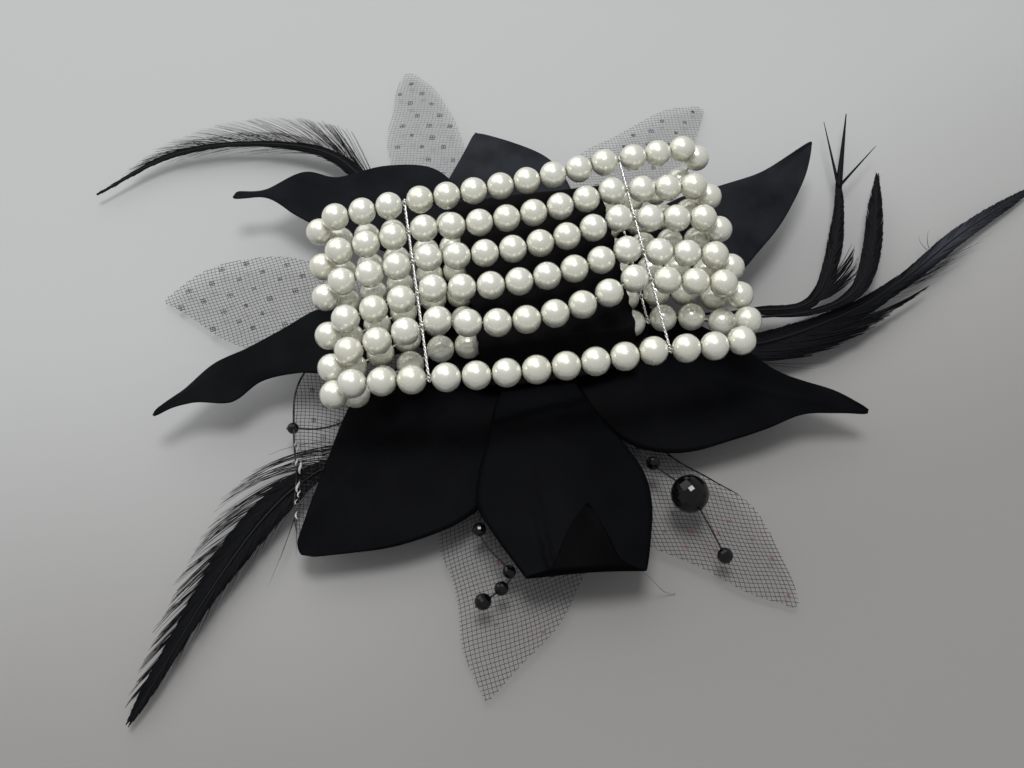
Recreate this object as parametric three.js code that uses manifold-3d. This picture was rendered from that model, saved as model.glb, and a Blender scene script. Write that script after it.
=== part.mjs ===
// Wrist corsage: a black fabric flower with net petals, feathers and bead sprays, glued to a
// six-strand elastic bracelet of pearls. Millimetres, +Z up. It lies face down on a table, with the
// flattened bracelet on top: X runs along the strands, Y across them, and the origin is on the table
// under the middle of the bracelet.
import * as THREE from "three";
import { mergeVertices } from "three/addons/utils/BufferGeometryUtils.js";
import Module from "manifold-3d";

const wasm = await Module();
wasm.setup();

// Clearance between pieces that are glued, stacked or threaded
const FIT = 0.3;

// Pearl strands
const PEARL_DIAMETER = 6;
const PEARL_GAP = 0.2;
const PEARL_SIDES = 6;
const ELASTIC_DIAMETER = 1;
const RUN_PEARLS = 8;
const FOLD_PEARLS = 3;
const FOLD_SLOPE = 6;
const FOLD_END_SLOPE = 47;
const LOWER_ROW_GAP = 0.84;
const LOWER_ROWS_CENTRE = 3.9;
const UPPER_ROW_GAP = 2;
const UPPER_FIRST_ROW = 20;

// How far each strand lies off its even row, towards +Y: where its upper run starts on the left and ends
// on the right, and at the left and right fold, and how far that run sags in between. A strand drifts to
// its folds evenly, but on the right late, by a power of the way: the lower half of every strand, and the
// upper half of the strand that says so.
const LOWER_LATENESS = 3;
const STRANDS = [
  { left: -1.2, right: 3, leftFold: -1.6, rightFold: 6.5, sag: 0.8 },
  { left: -1.5, right: 2.5, leftFold: -3.6, rightFold: 2.5, sag: 1.8 },
  { left: -1.6, right: 2.5, leftFold: -4, rightFold: 0.8, sag: 2.4 },
  { left: -1.9, right: 1.6, leftFold: -6.2, rightFold: -2, sag: 2.7 },
  { left: -2.2, right: 1.8, leftFold: -6.4, rightFold: -1.7, sag: 4.6 },
  { left: -8.4, right: -8.8, leftFold: -5, rightFold: -0.5, sag: 0.9, lateness: 12 },
];

// Spacer wires that keep the strands in order
const SPACER_DIAMETER = 0.8;
const SPACER_PLAY = 0.15;
const SPACER_OVERHANG = 2.5;
const SPACER_SIDES = 6;

// Felt pieces that hold the bracelet to the flower
const BACKING_THICKNESS = 1.2;
const BACKING_LENGTH = 52;
const BACKING_MARGIN = 1.5;
const PATCH_THICKNESS = 0.8;
const PATCH_LENGTH = 35;
const PATCH_CENTRE = 4;
const PATCH_FLANGE = 4;

// Core of the flower, from its face on the table upwards
const FLOWER_Y = -5;
const CENTRE_HEIGHT = 4.2;
const CENTRE_DIAMETER = 23;
const CENTRE_FLAT = 17;
const BLOSSOM_LOBES = 5;
const BLOSSOM_DIAMETER = 68;
const BLOSSOM_NOTCH = 0.4;
const BLOSSOM_THICKNESS = 0.6;
const FRONT_FELT_DIAMETER = 28;
const FRONT_FELT_THICKNESS = 0.8;
const CORE_DIAMETER = 12;

// Layers that are glued round the core
const NET_THICKNESS = 0.5;
const NET_DROOP = 5;
const NET_ROOT_WIDTH = 2.4;
const NET_CELLS_ALONG = 7;
const NET_CELLS_ACROSS = 4;
const NET_BAR_SHARE = 0.2;
const QUILL_DIAMETER = 1;
const FEATHER_EDGE = 0.5;
const QUILL_FALL = 1.3;
const SPRAY_WIRE_DIAMETER = 0.6;
const SPRAY_BORE_PLAY = 0.35;
const PETAL_THICKNESS = 0.7;
const PETAL_CUP = 2;
const PETAL_DROOP = 3;
const PETAL_ROOT_WIDTH = 4;
const PETAL_STEP = 2.4;
const LEAF_REACH = 90;
const TIP_SHARE = 0.03;

// Outer petals: place of the root round the core (degrees), a point that the rib bends towards and
// the tip, seen from above, the greatest width, where along the rib that is, how long drawn the point
// is, and the layer
const OUTER_PETALS = [
  { root: 122, bend: [-31, 44], tip: [-67, 42], width: 18, widest: 0.55, drawn: 0.9, layer: 1 },
  { root: 178, bend: [-52, 3], tip: [-87, -16], width: 17, widest: 0.6, drawn: 0.9, layer: 1 },
  { root: 222, bend: [-30, -31], tip: [-57, -53], width: 38, widest: 0.55, drawn: 0.75, layer: 0 },
  { root: 270, bend: [-1, -38], tip: [2, -84], width: 37, widest: 0.55, drawn: 0.75, layer: 1, folded: 0.8 },
  { root: 334, bend: [38, -27], tip: [71, -40], width: 30, widest: 0.45, drawn: 1.3, layer: 0 },
  { root: 20, bend: [48, 11], tip: [80.4, 37.4], width: 27, widest: 0.58, drawn: 1.2, layer: 1 },
  { root: 94, bend: [-1, 28], tip: [-4, 58.3], width: 38, widest: 0.58, drawn: 0.75, layer: 0 },
];
const FLAP_LENGTH_SHARE = 0.25;
const FLAP_WIDTH_SHARE = 0.66;

// Net petals, in the same way
const NET_PETALS = [
  { root: 103, bend: [-17, 52], tip: [-20, 89], width: 21, widest: 0.62, drawn: 0.8, layer: 1 },
  { root: 60, bend: [28, 48], tip: [60, 65], width: 22, widest: 0.6, drawn: 0.8, layer: 0 },
  { root: 166, bend: [-56, 13], tip: [-87, 22], width: 26, widest: 0.7, drawn: 0.8, layer: 1 },
  { root: 192, bend: [-50, -11], tip: [-57, -47], width: 20, widest: 0.6, drawn: 0.8, layer: 0 },
  { root: 266, bend: [-9, -58], tip: [-23, -87], width: 28, widest: 0.66, drawn: 0.8, layer: 1 },
  { root: 300, bend: [28, -52], tip: [45, -78], width: 22, widest: 0.62, drawn: 0.8, layer: 0 },
];

// Feathers: root round the core, points that the quill bends through, its tip, the widths of the vane
// on the left and the right of the quill, the share of the quill that is bare, and the tip's height
const FEATHERS = [
  {
    root: 118,
    bends: [[-42.5, 59.6], [-63.3, 67.5], [-84.6, 67.4]],
    tip: [-104, 57.8],
    left: 3,
    right: 8,
    bare: 0.4,
    rise: 4,
  },
  {
    root: 214,
    bends: [[-59.8, -36.9], [-75.3, -53.7]],
    tip: [-93.7, -80.1],
    left: 5,
    right: 6.5,
    bare: 0.42,
    rise: 3,
  },
  { root: 345, bends: [[54, -15], [95, -1]], tip: [137, 22], left: 4.4, right: 4.4, bare: 0.36, rise: 2 },
  { root: 15, bends: [[62, -7], [79, 9]], tip: [89.4, 50], left: 3, right: 4, bare: 0.5, rise: 6 },
  { root: 0, bends: [[71, -8.6], [88, 9]], tip: [97.6, 30.4], left: 2.5, right: 3, bare: 0.68, rise: 6.5 },
];
const VANE_CLUMPS = 9;
const VANE_NOTCH = 0.62;

// Bead sprays: root round the core, the points of the wire seen from above, and the diameter of the
// bead that is threaded there (0 where there is none)
const SPRAYS = [
  { root: 303, points: [[13, -28, 0], [21.2, -42.9, 3.3], [27, -52.2, 8.6], [31.9, -65.8, 3.5]] },
  {
    root: 256,
    points: [[-12, -38, 0], [-18.9, -52.2, 3.2], [-14, -62.4, 3], [-16.2, -65.7, 3.2], [-20.4, -67.9, 3.6]],
  },
  { root: 192, points: [[-30, -16, 0], [-48, -21.5, 0], [-57, -21, 2.8]] },
];
const BEAD_FACETS = 8;
const WIRE_TAIL = 0.6;
const WIRE_STEP = 2;
const WIRE_TENSION = 0.1;

// Places worked out from the sizes above
const pearlRadius = PEARL_DIAMETER / 2;
const pearlStep = PEARL_DIAMETER + PEARL_GAP;
const spacerStep = PEARL_DIAMETER + SPACER_DIAMETER + 2 * SPACER_PLAY;
const runHalf = ((RUN_PEARLS - 1) / 2) * pearlStep;
const strands = STRANDS.length;
const lowerPitch = PEARL_DIAMETER + LOWER_ROW_GAP;
const upperPitch = PEARL_DIAMETER + UPPER_ROW_GAP;
const lowerRow = (i) => LOWER_ROWS_CENTRE + ((strands - 1) / 2 - i) * lowerPitch;
const evenRow = (i) => UPPER_FIRST_ROW - i * upperPitch;
const upperRow = (i, side) => evenRow(i) + (side < 0 ? STRANDS[i].left : STRANDS[i].right);
const foldRow = (i, side) => evenRow(i) + (side < 0 ? STRANDS[i].leftFold : STRANDS[i].rightFold);

const blossomZ = CENTRE_HEIGHT + FIT + BLOSSOM_THICKNESS / 2;
const frontFeltZ = blossomZ + BLOSSOM_THICKNESS / 2 + FIT;
const coreBottom = frontFeltZ + FRONT_FELT_THICKNESS + FIT;
const netZ = (layer) => coreBottom + NET_THICKNESS / 2 + layer * (NET_THICKNESS + FIT);
const quillZ = netZ(1) + NET_THICKNESS / 2 + FIT + QUILL_DIAMETER / 2;
const petalBase = quillZ + QUILL_DIAMETER / 2 + FIT + PETAL_CUP + PETAL_THICKNESS / 2;
const petalZ = (layer) => petalBase + layer * (PETAL_THICKNESS + PETAL_STEP);
const coreTop = petalZ(1) + PETAL_THICKNESS / 2;
const backingZ = coreTop + FIT;
const backingTop = backingZ + BACKING_THICKNESS;
const lowerZ = backingTop + FIT + pearlRadius;
const rootRadius = CORE_DIAMETER / 2 + FIT;

const radians = THREE.MathUtils.degToRad;
const foldLength = spacerStep + (FOLD_PEARLS - 1) * pearlStep;
const foldReach = foldLength * Math.cos(radians(FOLD_SLOPE)) + pearlStep * Math.cos(radians(FOLD_END_SLOPE));
const foldRise = foldLength * Math.sin(radians(FOLD_SLOPE)) + pearlStep * Math.sin(radians(FOLD_END_SLOPE));
const upperZ = lowerZ + 2 * foldRise;

// Finishes
const finish = (color, roughness, metalness = 0) =>
  new THREE.MeshStandardMaterial({ color, roughness, metalness });
const PEARL = finish(0xece6d6, 0.28);
const FELT = finish(0x141416, 0.95);
const SATIN = finish(0x16161a, 0.6);
const TULLE = finish(0x1d1d1f, 0.9);
const FEATHER = finish(0x0e0e11, 0.7);
const JET = finish(0x08080a, 0.15);
const WIRE = finish(0x1a1a1c, 0.5, 0.6);
const GLUE = finish(0xc9c4b6, 0.4);

const corsage = new THREE.Group();
const bracelet = new THREE.Group();
const flower = new THREE.Group();
corsage.add(bracelet, flower);

function addMesh(parent, name, geometry, material) {
  const mesh = new THREE.Mesh(geometry, material);
  mesh.name = name;
  parent.add(mesh);
  return mesh;
}

function closedGeometry(positions, index) {
  const geometry = new THREE.BufferGeometry();
  geometry.setAttribute("position", new THREE.Float32BufferAttribute(positions, 3));
  geometry.setIndex(index);
  geometry.computeVertexNormals();
  return geometry;
}

// A closed mesh as a solid that can be joined with others
function solidOf(geometry) {
  const bare = geometry.clone();
  bare.deleteAttribute("normal");
  bare.deleteAttribute("uv");
  const merged = mergeVertices(bare, 1e-4);
  return new wasm.Manifold(
    new wasm.Mesh({
      numProp: 3,
      vertProperties: merged.attributes.position.array,
      triVerts: new Uint32Array(merged.index.array),
    }),
  );
}

function joined(geometries) {
  const mesh = geometries
    .map(solidOf)
    .reduce((whole, next) => whole.add(next))
    .getMesh();
  return closedGeometry(Array.from(mesh.vertProperties), Array.from(mesh.triVerts));
}

// A strand: one unbroken elastic that swells to a pearl at each of the given centres. It starts and
// ends on the elastic at the points given, or on the pearl itself where there is none.
function strandGeometry(centres, startPoint, endPoint) {
  const elasticRadius = ELASTIC_DIAMETER / 2;
  const poleOffset = Math.sqrt(pearlRadius ** 2 - elasticRadius ** 2);
  const shoulder = pearlRadius * Math.SQRT1_2;
  const last = centres.length - 1;
  const route = [startPoint ?? centres[0], ...centres, endPoint ?? centres[last]];
  const rings = [];
  const addRing = (centre, tangent, radius, turned) => rings.push({ centre, tangent, radius, turned });
  centres.forEach((centre, i) => {
    const tangent = route[i + 2].clone().sub(route[i]).normalize();
    const along = (offset) => centre.clone().addScaledVector(tangent, offset);
    if (i === 0) addRing(startPoint ?? along(-poleOffset), tangent, elasticRadius, false);
    addRing(along(-shoulder), tangent, shoulder, true);
    addRing(centre, tangent, pearlRadius, false);
    addRing(along(shoulder), tangent, shoulder, true);
    if (i < last) {
      const next = centres[i + 1];
      const neck = centre.clone().add(next).multiplyScalar(0.5);
      addRing(neck, next.clone().sub(centre).normalize(), elasticRadius, false);
    } else {
      addRing(endPoint ?? along(poleOffset), tangent, elasticRadius, false);
    }
  });
  return ringTube(rings);
}

// A closed tube through rings that are turned half a step where they say so
function ringTube(rings) {
  const up = new THREE.Vector3(0, 0, 1);
  const positions = [];
  const index = [];
  for (const { centre, tangent, radius, turned } of rings) {
    const side = tangent.clone().cross(up).normalize();
    const top = side.clone().cross(tangent);
    for (let k = 0; k < PEARL_SIDES; k++) {
      const angle = ((k + (turned ? 0.5 : 0)) * 2 * Math.PI) / PEARL_SIDES;
      const point = centre.clone();
      point.addScaledVector(top, radius * Math.cos(angle));
      point.addScaledVector(side, radius * Math.sin(angle));
      positions.push(point.x, point.y, point.z);
    }
  }
  for (let r = 0; r + 1 < rings.length; r++) {
    const here = r * PEARL_SIDES;
    const next = here + PEARL_SIDES;
    for (let k = 0; k < PEARL_SIDES; k++) {
      const after = (k + 1) % PEARL_SIDES;
      if (rings[r].turned) {
        index.push(here + k, next + after, next + k);
        index.push(here + k, here + after, next + after);
      } else {
        index.push(here + k, here + after, next + k);
        index.push(here + after, next + after, next + k);
      }
    }
  }
  const lastRing = (rings.length - 1) * PEARL_SIDES;
  for (let k = 1; k + 1 < PEARL_SIDES; k++) {
    index.push(0, k + 1, k);
    index.push(lastRing, lastRing + k, lastRing + k + 1);
  }
  return closedGeometry(positions, index);
}

// Runs of pearls: straight on the flower, and slanting and sagging on top
function runCentres(leftY, rightY, z, sag) {
  return Array.from({ length: RUN_PEARLS }, (_, k) => {
    const x = -runHalf + k * pearlStep;
    const rowY = THREE.MathUtils.lerp(leftY, rightY, k / (RUN_PEARLS - 1));
    return new THREE.Vector3(x, rowY - sag * (1 - (x / runHalf) ** 2), z);
  });
}

for (let i = 0; i < strands; i++) {
  const base = runCentres(lowerRow(i), lowerRow(i), lowerZ, 0);
  addMesh(bracelet, `base_strand_${i + 1}`, strandGeometry(base), PEARL);
  const top = runCentres(upperRow(i, -1), upperRow(i, 1), upperZ, STRANDS[i].sag);
  addMesh(bracelet, `top_strand_${i + 1}`, strandGeometry(top), PEARL);
}

// A point of a folded end, a given way along it from the end of a run. Side is -1 at the left and 1 at
// the right, and the upper half is the lower half turned over about the fold.
function foldPoint(side, upper, i, distance, rise) {
  const way = distance / foldReach;
  const lateness = upper ? (STRANDS[i].lateness ?? 1) : LOWER_LATENESS;
  const share = side > 0 ? way ** lateness : way;
  const rowY = THREE.MathUtils.lerp(upper ? upperRow(i, side) : lowerRow(i), foldRow(i, side), share);
  const z = upper ? upperZ - rise : lowerZ + rise;
  return new THREE.Vector3(side * (runHalf + distance), rowY, z);
}

// Rows of one folded end with the spacer wire that they pass through. The lower half holds the pearl
// at the fold.
function foldedEnd(side, upper) {
  const cos = Math.cos(radians(FOLD_SLOPE));
  const sin = Math.sin(radians(FOLD_SLOPE));
  const rows = [];
  for (let i = 0; i < strands; i++) {
    const centres = [];
    for (let k = 0; k < FOLD_PEARLS; k++) {
      const length = spacerStep + k * pearlStep;
      centres.push(foldPoint(side, upper, i, length * cos, length * sin));
    }
    if (!upper) centres.push(foldPoint(side, upper, i, foldReach, foldRise));
    const atSpacer = foldPoint(side, upper, i, (spacerStep / 2) * cos, (spacerStep / 2) * sin);
    rows.push(strandGeometry(centres, atSpacer));
  }
  const spacerX = (spacerStep / 2) * cos;
  const first = foldPoint(side, upper, 0, spacerX, (spacerStep / 2) * sin);
  const final = foldPoint(side, upper, strands - 1, spacerX, (spacerStep / 2) * sin);
  const length = first.y - final.y + 2 * SPACER_OVERHANG;
  const wire = new THREE.CylinderGeometry(SPACER_DIAMETER / 2, SPACER_DIAMETER / 2, length, SPACER_SIDES);
  wire.translate(first.x, (first.y + final.y) / 2, first.z);
  return joined([wire, ...rows]);
}

addMesh(bracelet, "lower_left_rows", foldedEnd(-1, false), PEARL);
addMesh(bracelet, "upper_left_rows", foldedEnd(-1, true), PEARL);
addMesh(bracelet, "lower_right_rows", foldedEnd(1, false), PEARL);
addMesh(bracelet, "upper_right_rows", foldedEnd(1, true), PEARL);

// Felt backing, an oval that the strands lie on, and the felt patch that bridges the strands and is
// glued down to the backing at both ends
const wallOut = pearlRadius + FIT + PATCH_THICKNESS;
const flangeTop = lowerRow(0) + wallOut + PATCH_FLANGE;
const flangeBottom = lowerRow(strands - 1) - wallOut - PATCH_FLANGE;
const backingWidth = flangeTop - flangeBottom + 2 * BACKING_MARGIN;

function backingGeometry() {
  const oval = new THREE.Shape();
  const power = 0.6;
  const corners = 32;
  for (let k = 0; k < corners; k++) {
    const angle = (k * 2 * Math.PI) / corners;
    const bulge = (value) => Math.sign(value) * Math.abs(value) ** power;
    const x = (BACKING_LENGTH / 2) * bulge(Math.cos(angle));
    const y = (backingWidth / 2) * bulge(Math.sin(angle));
    if (k === 0) oval.moveTo(x, y);
    else oval.lineTo(x, y);
  }
  const felt = new THREE.ExtrudeGeometry(oval, { depth: BACKING_THICKNESS, bevelEnabled: false });
  return felt.translate(PATCH_CENTRE / 2, (flangeTop + flangeBottom) / 2, backingZ);
}

function patchGeometry() {
  const bottom = backingTop + FIT;
  const top = lowerZ + pearlRadius + FIT;
  const right = lowerRow(0) + pearlRadius + FIT;
  const left = lowerRow(strands - 1) - pearlRadius - FIT;
  const hat = new THREE.Shape();
  hat.moveTo(flangeBottom, bottom);
  hat.lineTo(left, bottom);
  hat.lineTo(left, top);
  hat.lineTo(right, top);
  hat.lineTo(right, bottom);
  hat.lineTo(flangeTop, bottom);
  hat.lineTo(flangeTop, bottom + PATCH_THICKNESS);
  hat.lineTo(right + PATCH_THICKNESS, bottom + PATCH_THICKNESS);
  hat.lineTo(right + PATCH_THICKNESS, top + PATCH_THICKNESS);
  hat.lineTo(left - PATCH_THICKNESS, top + PATCH_THICKNESS);
  hat.lineTo(left - PATCH_THICKNESS, bottom + PATCH_THICKNESS);
  hat.lineTo(flangeBottom, bottom + PATCH_THICKNESS);
  const felt = new THREE.ExtrudeGeometry(hat, { depth: PATCH_LENGTH, bevelEnabled: false });
  felt.rotateX(Math.PI / 2).rotateZ(Math.PI / 2);
  return felt.translate(PATCH_CENTRE - PATCH_LENGTH / 2, 0, 0);
}

addMesh(bracelet, "backing_felt", backingGeometry(), FELT);
addMesh(bracelet, "cover_patch", patchGeometry(), FELT);

// Middle of the flower: a covered button, the inner blossom, a felt disc and the glue core
function discGeometry(diameter, thickness, sides) {
  const disc = new THREE.CylinderGeometry(diameter / 2, diameter / 2, thickness, sides);
  return disc.rotateX(Math.PI / 2).translate(0, FLOWER_Y, thickness / 2);
}

function centreGeometry() {
  const flat = CENTRE_FLAT / 2;
  const full = CENTRE_DIAMETER / 2;
  const belly = CENTRE_HEIGHT * 0.55;
  const dome = new THREE.EllipseCurve(flat, belly, full - flat, belly, -Math.PI / 2, 0).getPoints(3);
  const profile = [new THREE.Vector2(0, 0), ...dome];
  profile.push(new THREE.Vector2(full - (full - flat) / 3, CENTRE_HEIGHT));
  profile.push(new THREE.Vector2(0, CENTRE_HEIGHT));
  return new THREE.LatheGeometry(profile, 20).rotateX(Math.PI / 2).translate(0, FLOWER_Y, 0);
}

// The inner blossom: five lobes in one layer that arch down from the felt disc to the table
function blossomGeometry() {
  const around = 6 * BLOSSOM_LOBES;
  const rings = 4;
  const flatRadius = CENTRE_DIAMETER / 2;
  const fullRadius = BLOSSOM_DIAMETER / 2;
  const drop = blossomZ - BLOSSOM_THICKNESS / 2;
  const positions = [];
  for (const face of [1, -1]) {
    positions.push(0, FLOWER_Y, blossomZ + (face * BLOSSOM_THICKNESS) / 2);
    for (let r = 1; r <= rings; r++) {
      for (let k = 0; k < around; k++) {
        const angle = (k * 2 * Math.PI) / around;
        const lobe = Math.abs(Math.cos((angle * BLOSSOM_LOBES) / 2)) ** 0.8;
        const outer = fullRadius * (1 - BLOSSOM_NOTCH * (1 - lobe));
        const radius = flatRadius + ((outer - flatRadius) * (r - 1)) / (rings - 1);
        const share = (radius - flatRadius) / (fullRadius - flatRadius);
        const z = blossomZ - drop * share ** 2 + (face * BLOSSOM_THICKNESS) / 2;
        positions.push(radius * Math.cos(angle), FLOWER_Y + radius * Math.sin(angle), z);
      }
    }
  }
  const faceSize = 1 + rings * around;
  const at = (r, k) => 1 + (r - 1) * around + (k % around);
  const index = [];
  for (let k = 0; k < around; k++) {
    index.push(0, at(1, k), at(1, k + 1));
    index.push(faceSize, faceSize + at(1, k + 1), faceSize + at(1, k));
    for (let r = 1; r < rings; r++) {
      quad(index, at(r, k), at(r + 1, k), at(r + 1, k + 1), at(r, k + 1));
      const under = [at(r, k), at(r, k + 1), at(r + 1, k + 1), at(r + 1, k)];
      quad(index, ...under.map((v) => v + faceSize));
    }
    const rim = [at(rings, k), at(rings, k + 1)];
    quad(index, rim[0] + faceSize, rim[1] + faceSize, rim[1], rim[0]);
  }
  return closedGeometry(positions, index);
}

function quad(index, a, b, c, d) {
  index.push(a, b, c, a, c, d);
}

addMesh(flower, "flower_centre", centreGeometry(), SATIN);
addMesh(flower, "inner_blossom", blossomGeometry(), SATIN);
const frontFelt = discGeometry(FRONT_FELT_DIAMETER, FRONT_FELT_THICKNESS, 32);
addMesh(flower, "front_felt", frontFelt.translate(0, 0, frontFeltZ), FELT);
const core = discGeometry(CORE_DIAMETER, coreTop - coreBottom, 24);
addMesh(flower, "glue_core", core.translate(0, 0, coreBottom), GLUE);

// A leaf: a thin sheet along a rib. Half widths are given along the rib for its left and right side,
// heights at each point, and cells that are open leave a hole with a frame of bars round it.
function leafGeometry({ rib, halfWidth, height, thickness, along, across, isOpen = () => false }) {
  const positions = [];
  const index = [];
  const cols = across + 1;
  const size = (along + 1) * cols;
  const places = [];
  for (let i = 0; i <= along; i++) {
    const t = i / along;
    const centre = rib.getPointAt(t);
    const tangent = rib.getTangentAt(t);
    for (let j = 0; j < cols; j++) {
      const u = (2 * j) / across - 1;
      const offset = u * halfWidth(t, u, i);
      const x = centre.x - tangent.y * offset;
      const y = centre.y + tangent.x * offset;
      places.push({ x, y, z: height(x, y, t, u), half: thickness(t, u) / 2 });
    }
  }
  const addPoint = (place, face) => positions.push(place.x, place.y, place.z + face * place.half);
  for (const face of [1, -1]) places.forEach((place) => addPoint(place, face));
  const at = (i, j) => i * cols + j;
  for (let i = 0; i < along; i++) {
    for (let j = 0; j < across; j++) {
      const corners = [at(i, j), at(i + 1, j), at(i + 1, j + 1), at(i, j + 1)];
      if (isOpen(i, j)) {
        frameFaces(positions, index, corners, places, size);
      } else {
        quad(index, ...corners);
        quad(index, ...corners.map((v) => v + size).reverse());
      }
    }
  }
  const edge = [];
  for (let i = 0; i < along; i++) edge.push(at(i, 0));
  for (let j = 0; j < across; j++) edge.push(at(along, j));
  for (let i = along; i > 0; i--) edge.push(at(i, across));
  for (let j = across; j > 0; j--) edge.push(at(0, j));
  edge.forEach((v, k) => {
    const w = edge[(k + 1) % edge.length];
    quad(index, v, v + size, w + size, w);
  });
  return closedGeometry(positions, index);
}

// The bars round one open cell of a net, on both faces, with the walls of the hole
function frameFaces(positions, index, corners, places, size) {
  const middle = new THREE.Vector3();
  const points = corners.map((v) => new THREE.Vector3(places[v].x, places[v].y, places[v].z));
  points.forEach((point) => middle.addScaledVector(point, 1 / points.length));
  const start = positions.length / 3;
  const count = corners.length;
  for (const face of [1, -1]) {
    points.forEach((point, k) => {
      const inner = point.clone().lerp(middle, NET_BAR_SHARE);
      positions.push(inner.x, inner.y, inner.z + face * places[corners[k]].half);
    });
  }
  for (let k = 0; k < count; k++) {
    const next = (k + 1) % count;
    quad(index, corners[k], corners[next], start + next, start + k);
    const under = [corners[k] + size, corners[next] + size, start + count + next, start + count + k];
    quad(index, ...under.reverse());
    quad(index, start + k, start + next, start + count + next, start + count + k);
  }
}

const rootPoint = (degrees) =>
  new THREE.Vector3(
    rootRadius * Math.cos(radians(degrees)),
    FLOWER_Y + rootRadius * Math.sin(radians(degrees)),
    0,
  );
const flat = ([x, y]) => new THREE.Vector3(x, y, 0);
const bentRib = ({ root, bend, tip }) =>
  new THREE.QuadraticBezierCurve3(rootPoint(root), flat(bend), flat(tip));

// Share of the greatest width at a place along the rib: round in the middle, pointed at the tip
function petalOutline(t, { widest, drawn }) {
  const power = Math.log(0.5) / Math.log(widest);
  return Math.max(Math.sin(Math.PI * t ** power), 0) ** drawn + TIP_SHARE * t;
}

// How far out a point of the flower lies, as a share of the reach of its leaves
const reachShare = (x, y) => Math.hypot(x, y - FLOWER_Y) / LEAF_REACH;

// Outer petals, creased along the rib, with edges that turn down and tips that droop. A folded petal
// ends at its fold, and its tip lies back on it as a flap.
function petalGeometry(petal) {
  const rib = bentRib(petal);
  const kept = petal.folded ?? 1;
  const keptRib = {
    getPointAt: (t) => rib.getPointAt(t * kept),
    getTangentAt: (t) => rib.getTangentAt(t * kept),
  };
  const half = petal.width / 2;
  const outline = (t) => half * petalOutline(t * kept, petal) + (PETAL_ROOT_WIDTH / 2) * (1 - t);
  const surface = (x, y, t, u) => {
    const turned = PETAL_CUP * (Math.abs(u) * Math.min(outline(t) / half, 1)) ** 1.5;
    return petalZ(petal.layer) - turned - PETAL_DROOP * reachShare(x, y) ** 2;
  };
  const main = leafGeometry({
    rib: keptRib,
    halfWidth: outline,
    height: surface,
    thickness: () => PETAL_THICKNESS,
    along: 10,
    across: 4,
  });
  if (kept === 1) return main;
  const flapRib = {
    getPointAt: (t) => keptRib.getPointAt(1 - FLAP_LENGTH_SHARE * (1 - t)),
    getTangentAt: (t) => keptRib.getTangentAt(1 - FLAP_LENGTH_SHARE * (1 - t)),
  };
  const flap = leafGeometry({
    rib: flapRib,
    halfWidth: (t) => outline(1) * FLAP_WIDTH_SHARE * (0.04 + 0.96 * t),
    height: (x, y, t, u) => surface(x, y, 1, u * FLAP_WIDTH_SHARE * t) + PETAL_THICKNESS,
    thickness: () => 1.6 * PETAL_THICKNESS,
    along: 3,
    across: 2,
  });
  return joined([main, flap]);
}

OUTER_PETALS.forEach((petal, i) => addMesh(flower, `outer_petal_${i + 1}`, petalGeometry(petal), SATIN));

const netHeight = (x, y, layer) => netZ(layer) - NET_DROOP * reachShare(x, y) ** 2;

// Net petals: open cells between a solid root and a solid tip, on a shallow dome that both layers share
function netGeometry(petal) {
  const outline = (t) => (petal.width / 2) * petalOutline(t, petal) + (NET_ROOT_WIDTH / 2) * (1 - t);
  return leafGeometry({
    rib: bentRib(petal),
    halfWidth: outline,
    height: (x, y) => netHeight(x, y, petal.layer),
    thickness: () => NET_THICKNESS,
    along: NET_CELLS_ALONG,
    across: NET_CELLS_ACROSS,
    isOpen: (i) => i > 0 && i < NET_CELLS_ALONG - 1,
  });
}

NET_PETALS.forEach((petal, i) => addMesh(flower, `net_petal_${i + 1}`, netGeometry(petal), TULLE));

// Feathers: a bare quill, then a vane whose edges are notched into clumps that point to the tip
function featherGeometry({ root, bends, tip, left, right, bare, rise }) {
  const rib = new THREE.CatmullRomCurve3([rootPoint(root), ...bends.map(flat), flat(tip)]);
  const along = 2 + 2 * VANE_CLUMPS;
  const quillHalf = QUILL_DIAMETER / 2;
  const vane = (t, u, i) => {
    if (t <= bare) return quillHalf;
    const share = (t - bare) / (1 - bare);
    const full = (u > 0 ? left : right) * Math.sin(Math.PI * Math.sqrt(share));
    const notched = i % 2 ? VANE_NOTCH : 1;
    return Math.max(full * notched, quillHalf * (1 - 0.6 * share));
  };
  return leafGeometry({
    rib,
    halfWidth: vane,
    height: (x, y, t) => quillZ + (rise - quillZ) * t ** QUILL_FALL,
    thickness: (t, u) => (u === 0 ? QUILL_DIAMETER : FEATHER_EDGE) * (1 - 0.4 * t),
    along,
    across: 2,
  });
}

FEATHERS.forEach((feather, i) => addMesh(flower, `feather_${i + 1}`, featherGeometry(feather), FEATHER));

// Bead sprays: a wire from the core, and faceted beads with a bore that it passes through
function polygon(radius, sides) {
  const shape = new THREE.Shape();
  for (let k = 0; k < sides; k++) {
    const angle = (k * 2 * Math.PI) / sides;
    const x = radius * Math.cos(angle);
    const y = radius * Math.sin(angle);
    if (k === 0) shape.moveTo(x, y);
    else shape.lineTo(x, y);
  }
  return shape;
}

function beadGeometry(diameter) {
  const radius = diameter / 2;
  const bore = SPRAY_WIRE_DIAMETER / 2 + SPRAY_BORE_PLAY;
  const girdle = 0.4 * radius;
  const end = Math.sqrt(radius ** 2 - bore ** 2) * 0.86;
  const profile = [
    [bore, -end],
    [0.93 * radius, -girdle],
    [0.93 * radius, girdle],
    [bore, end],
    [bore, -end],
  ].map(([x, y]) => new THREE.Vector2(x, y));
  return new THREE.LatheGeometry(profile, BEAD_FACETS);
}

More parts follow.
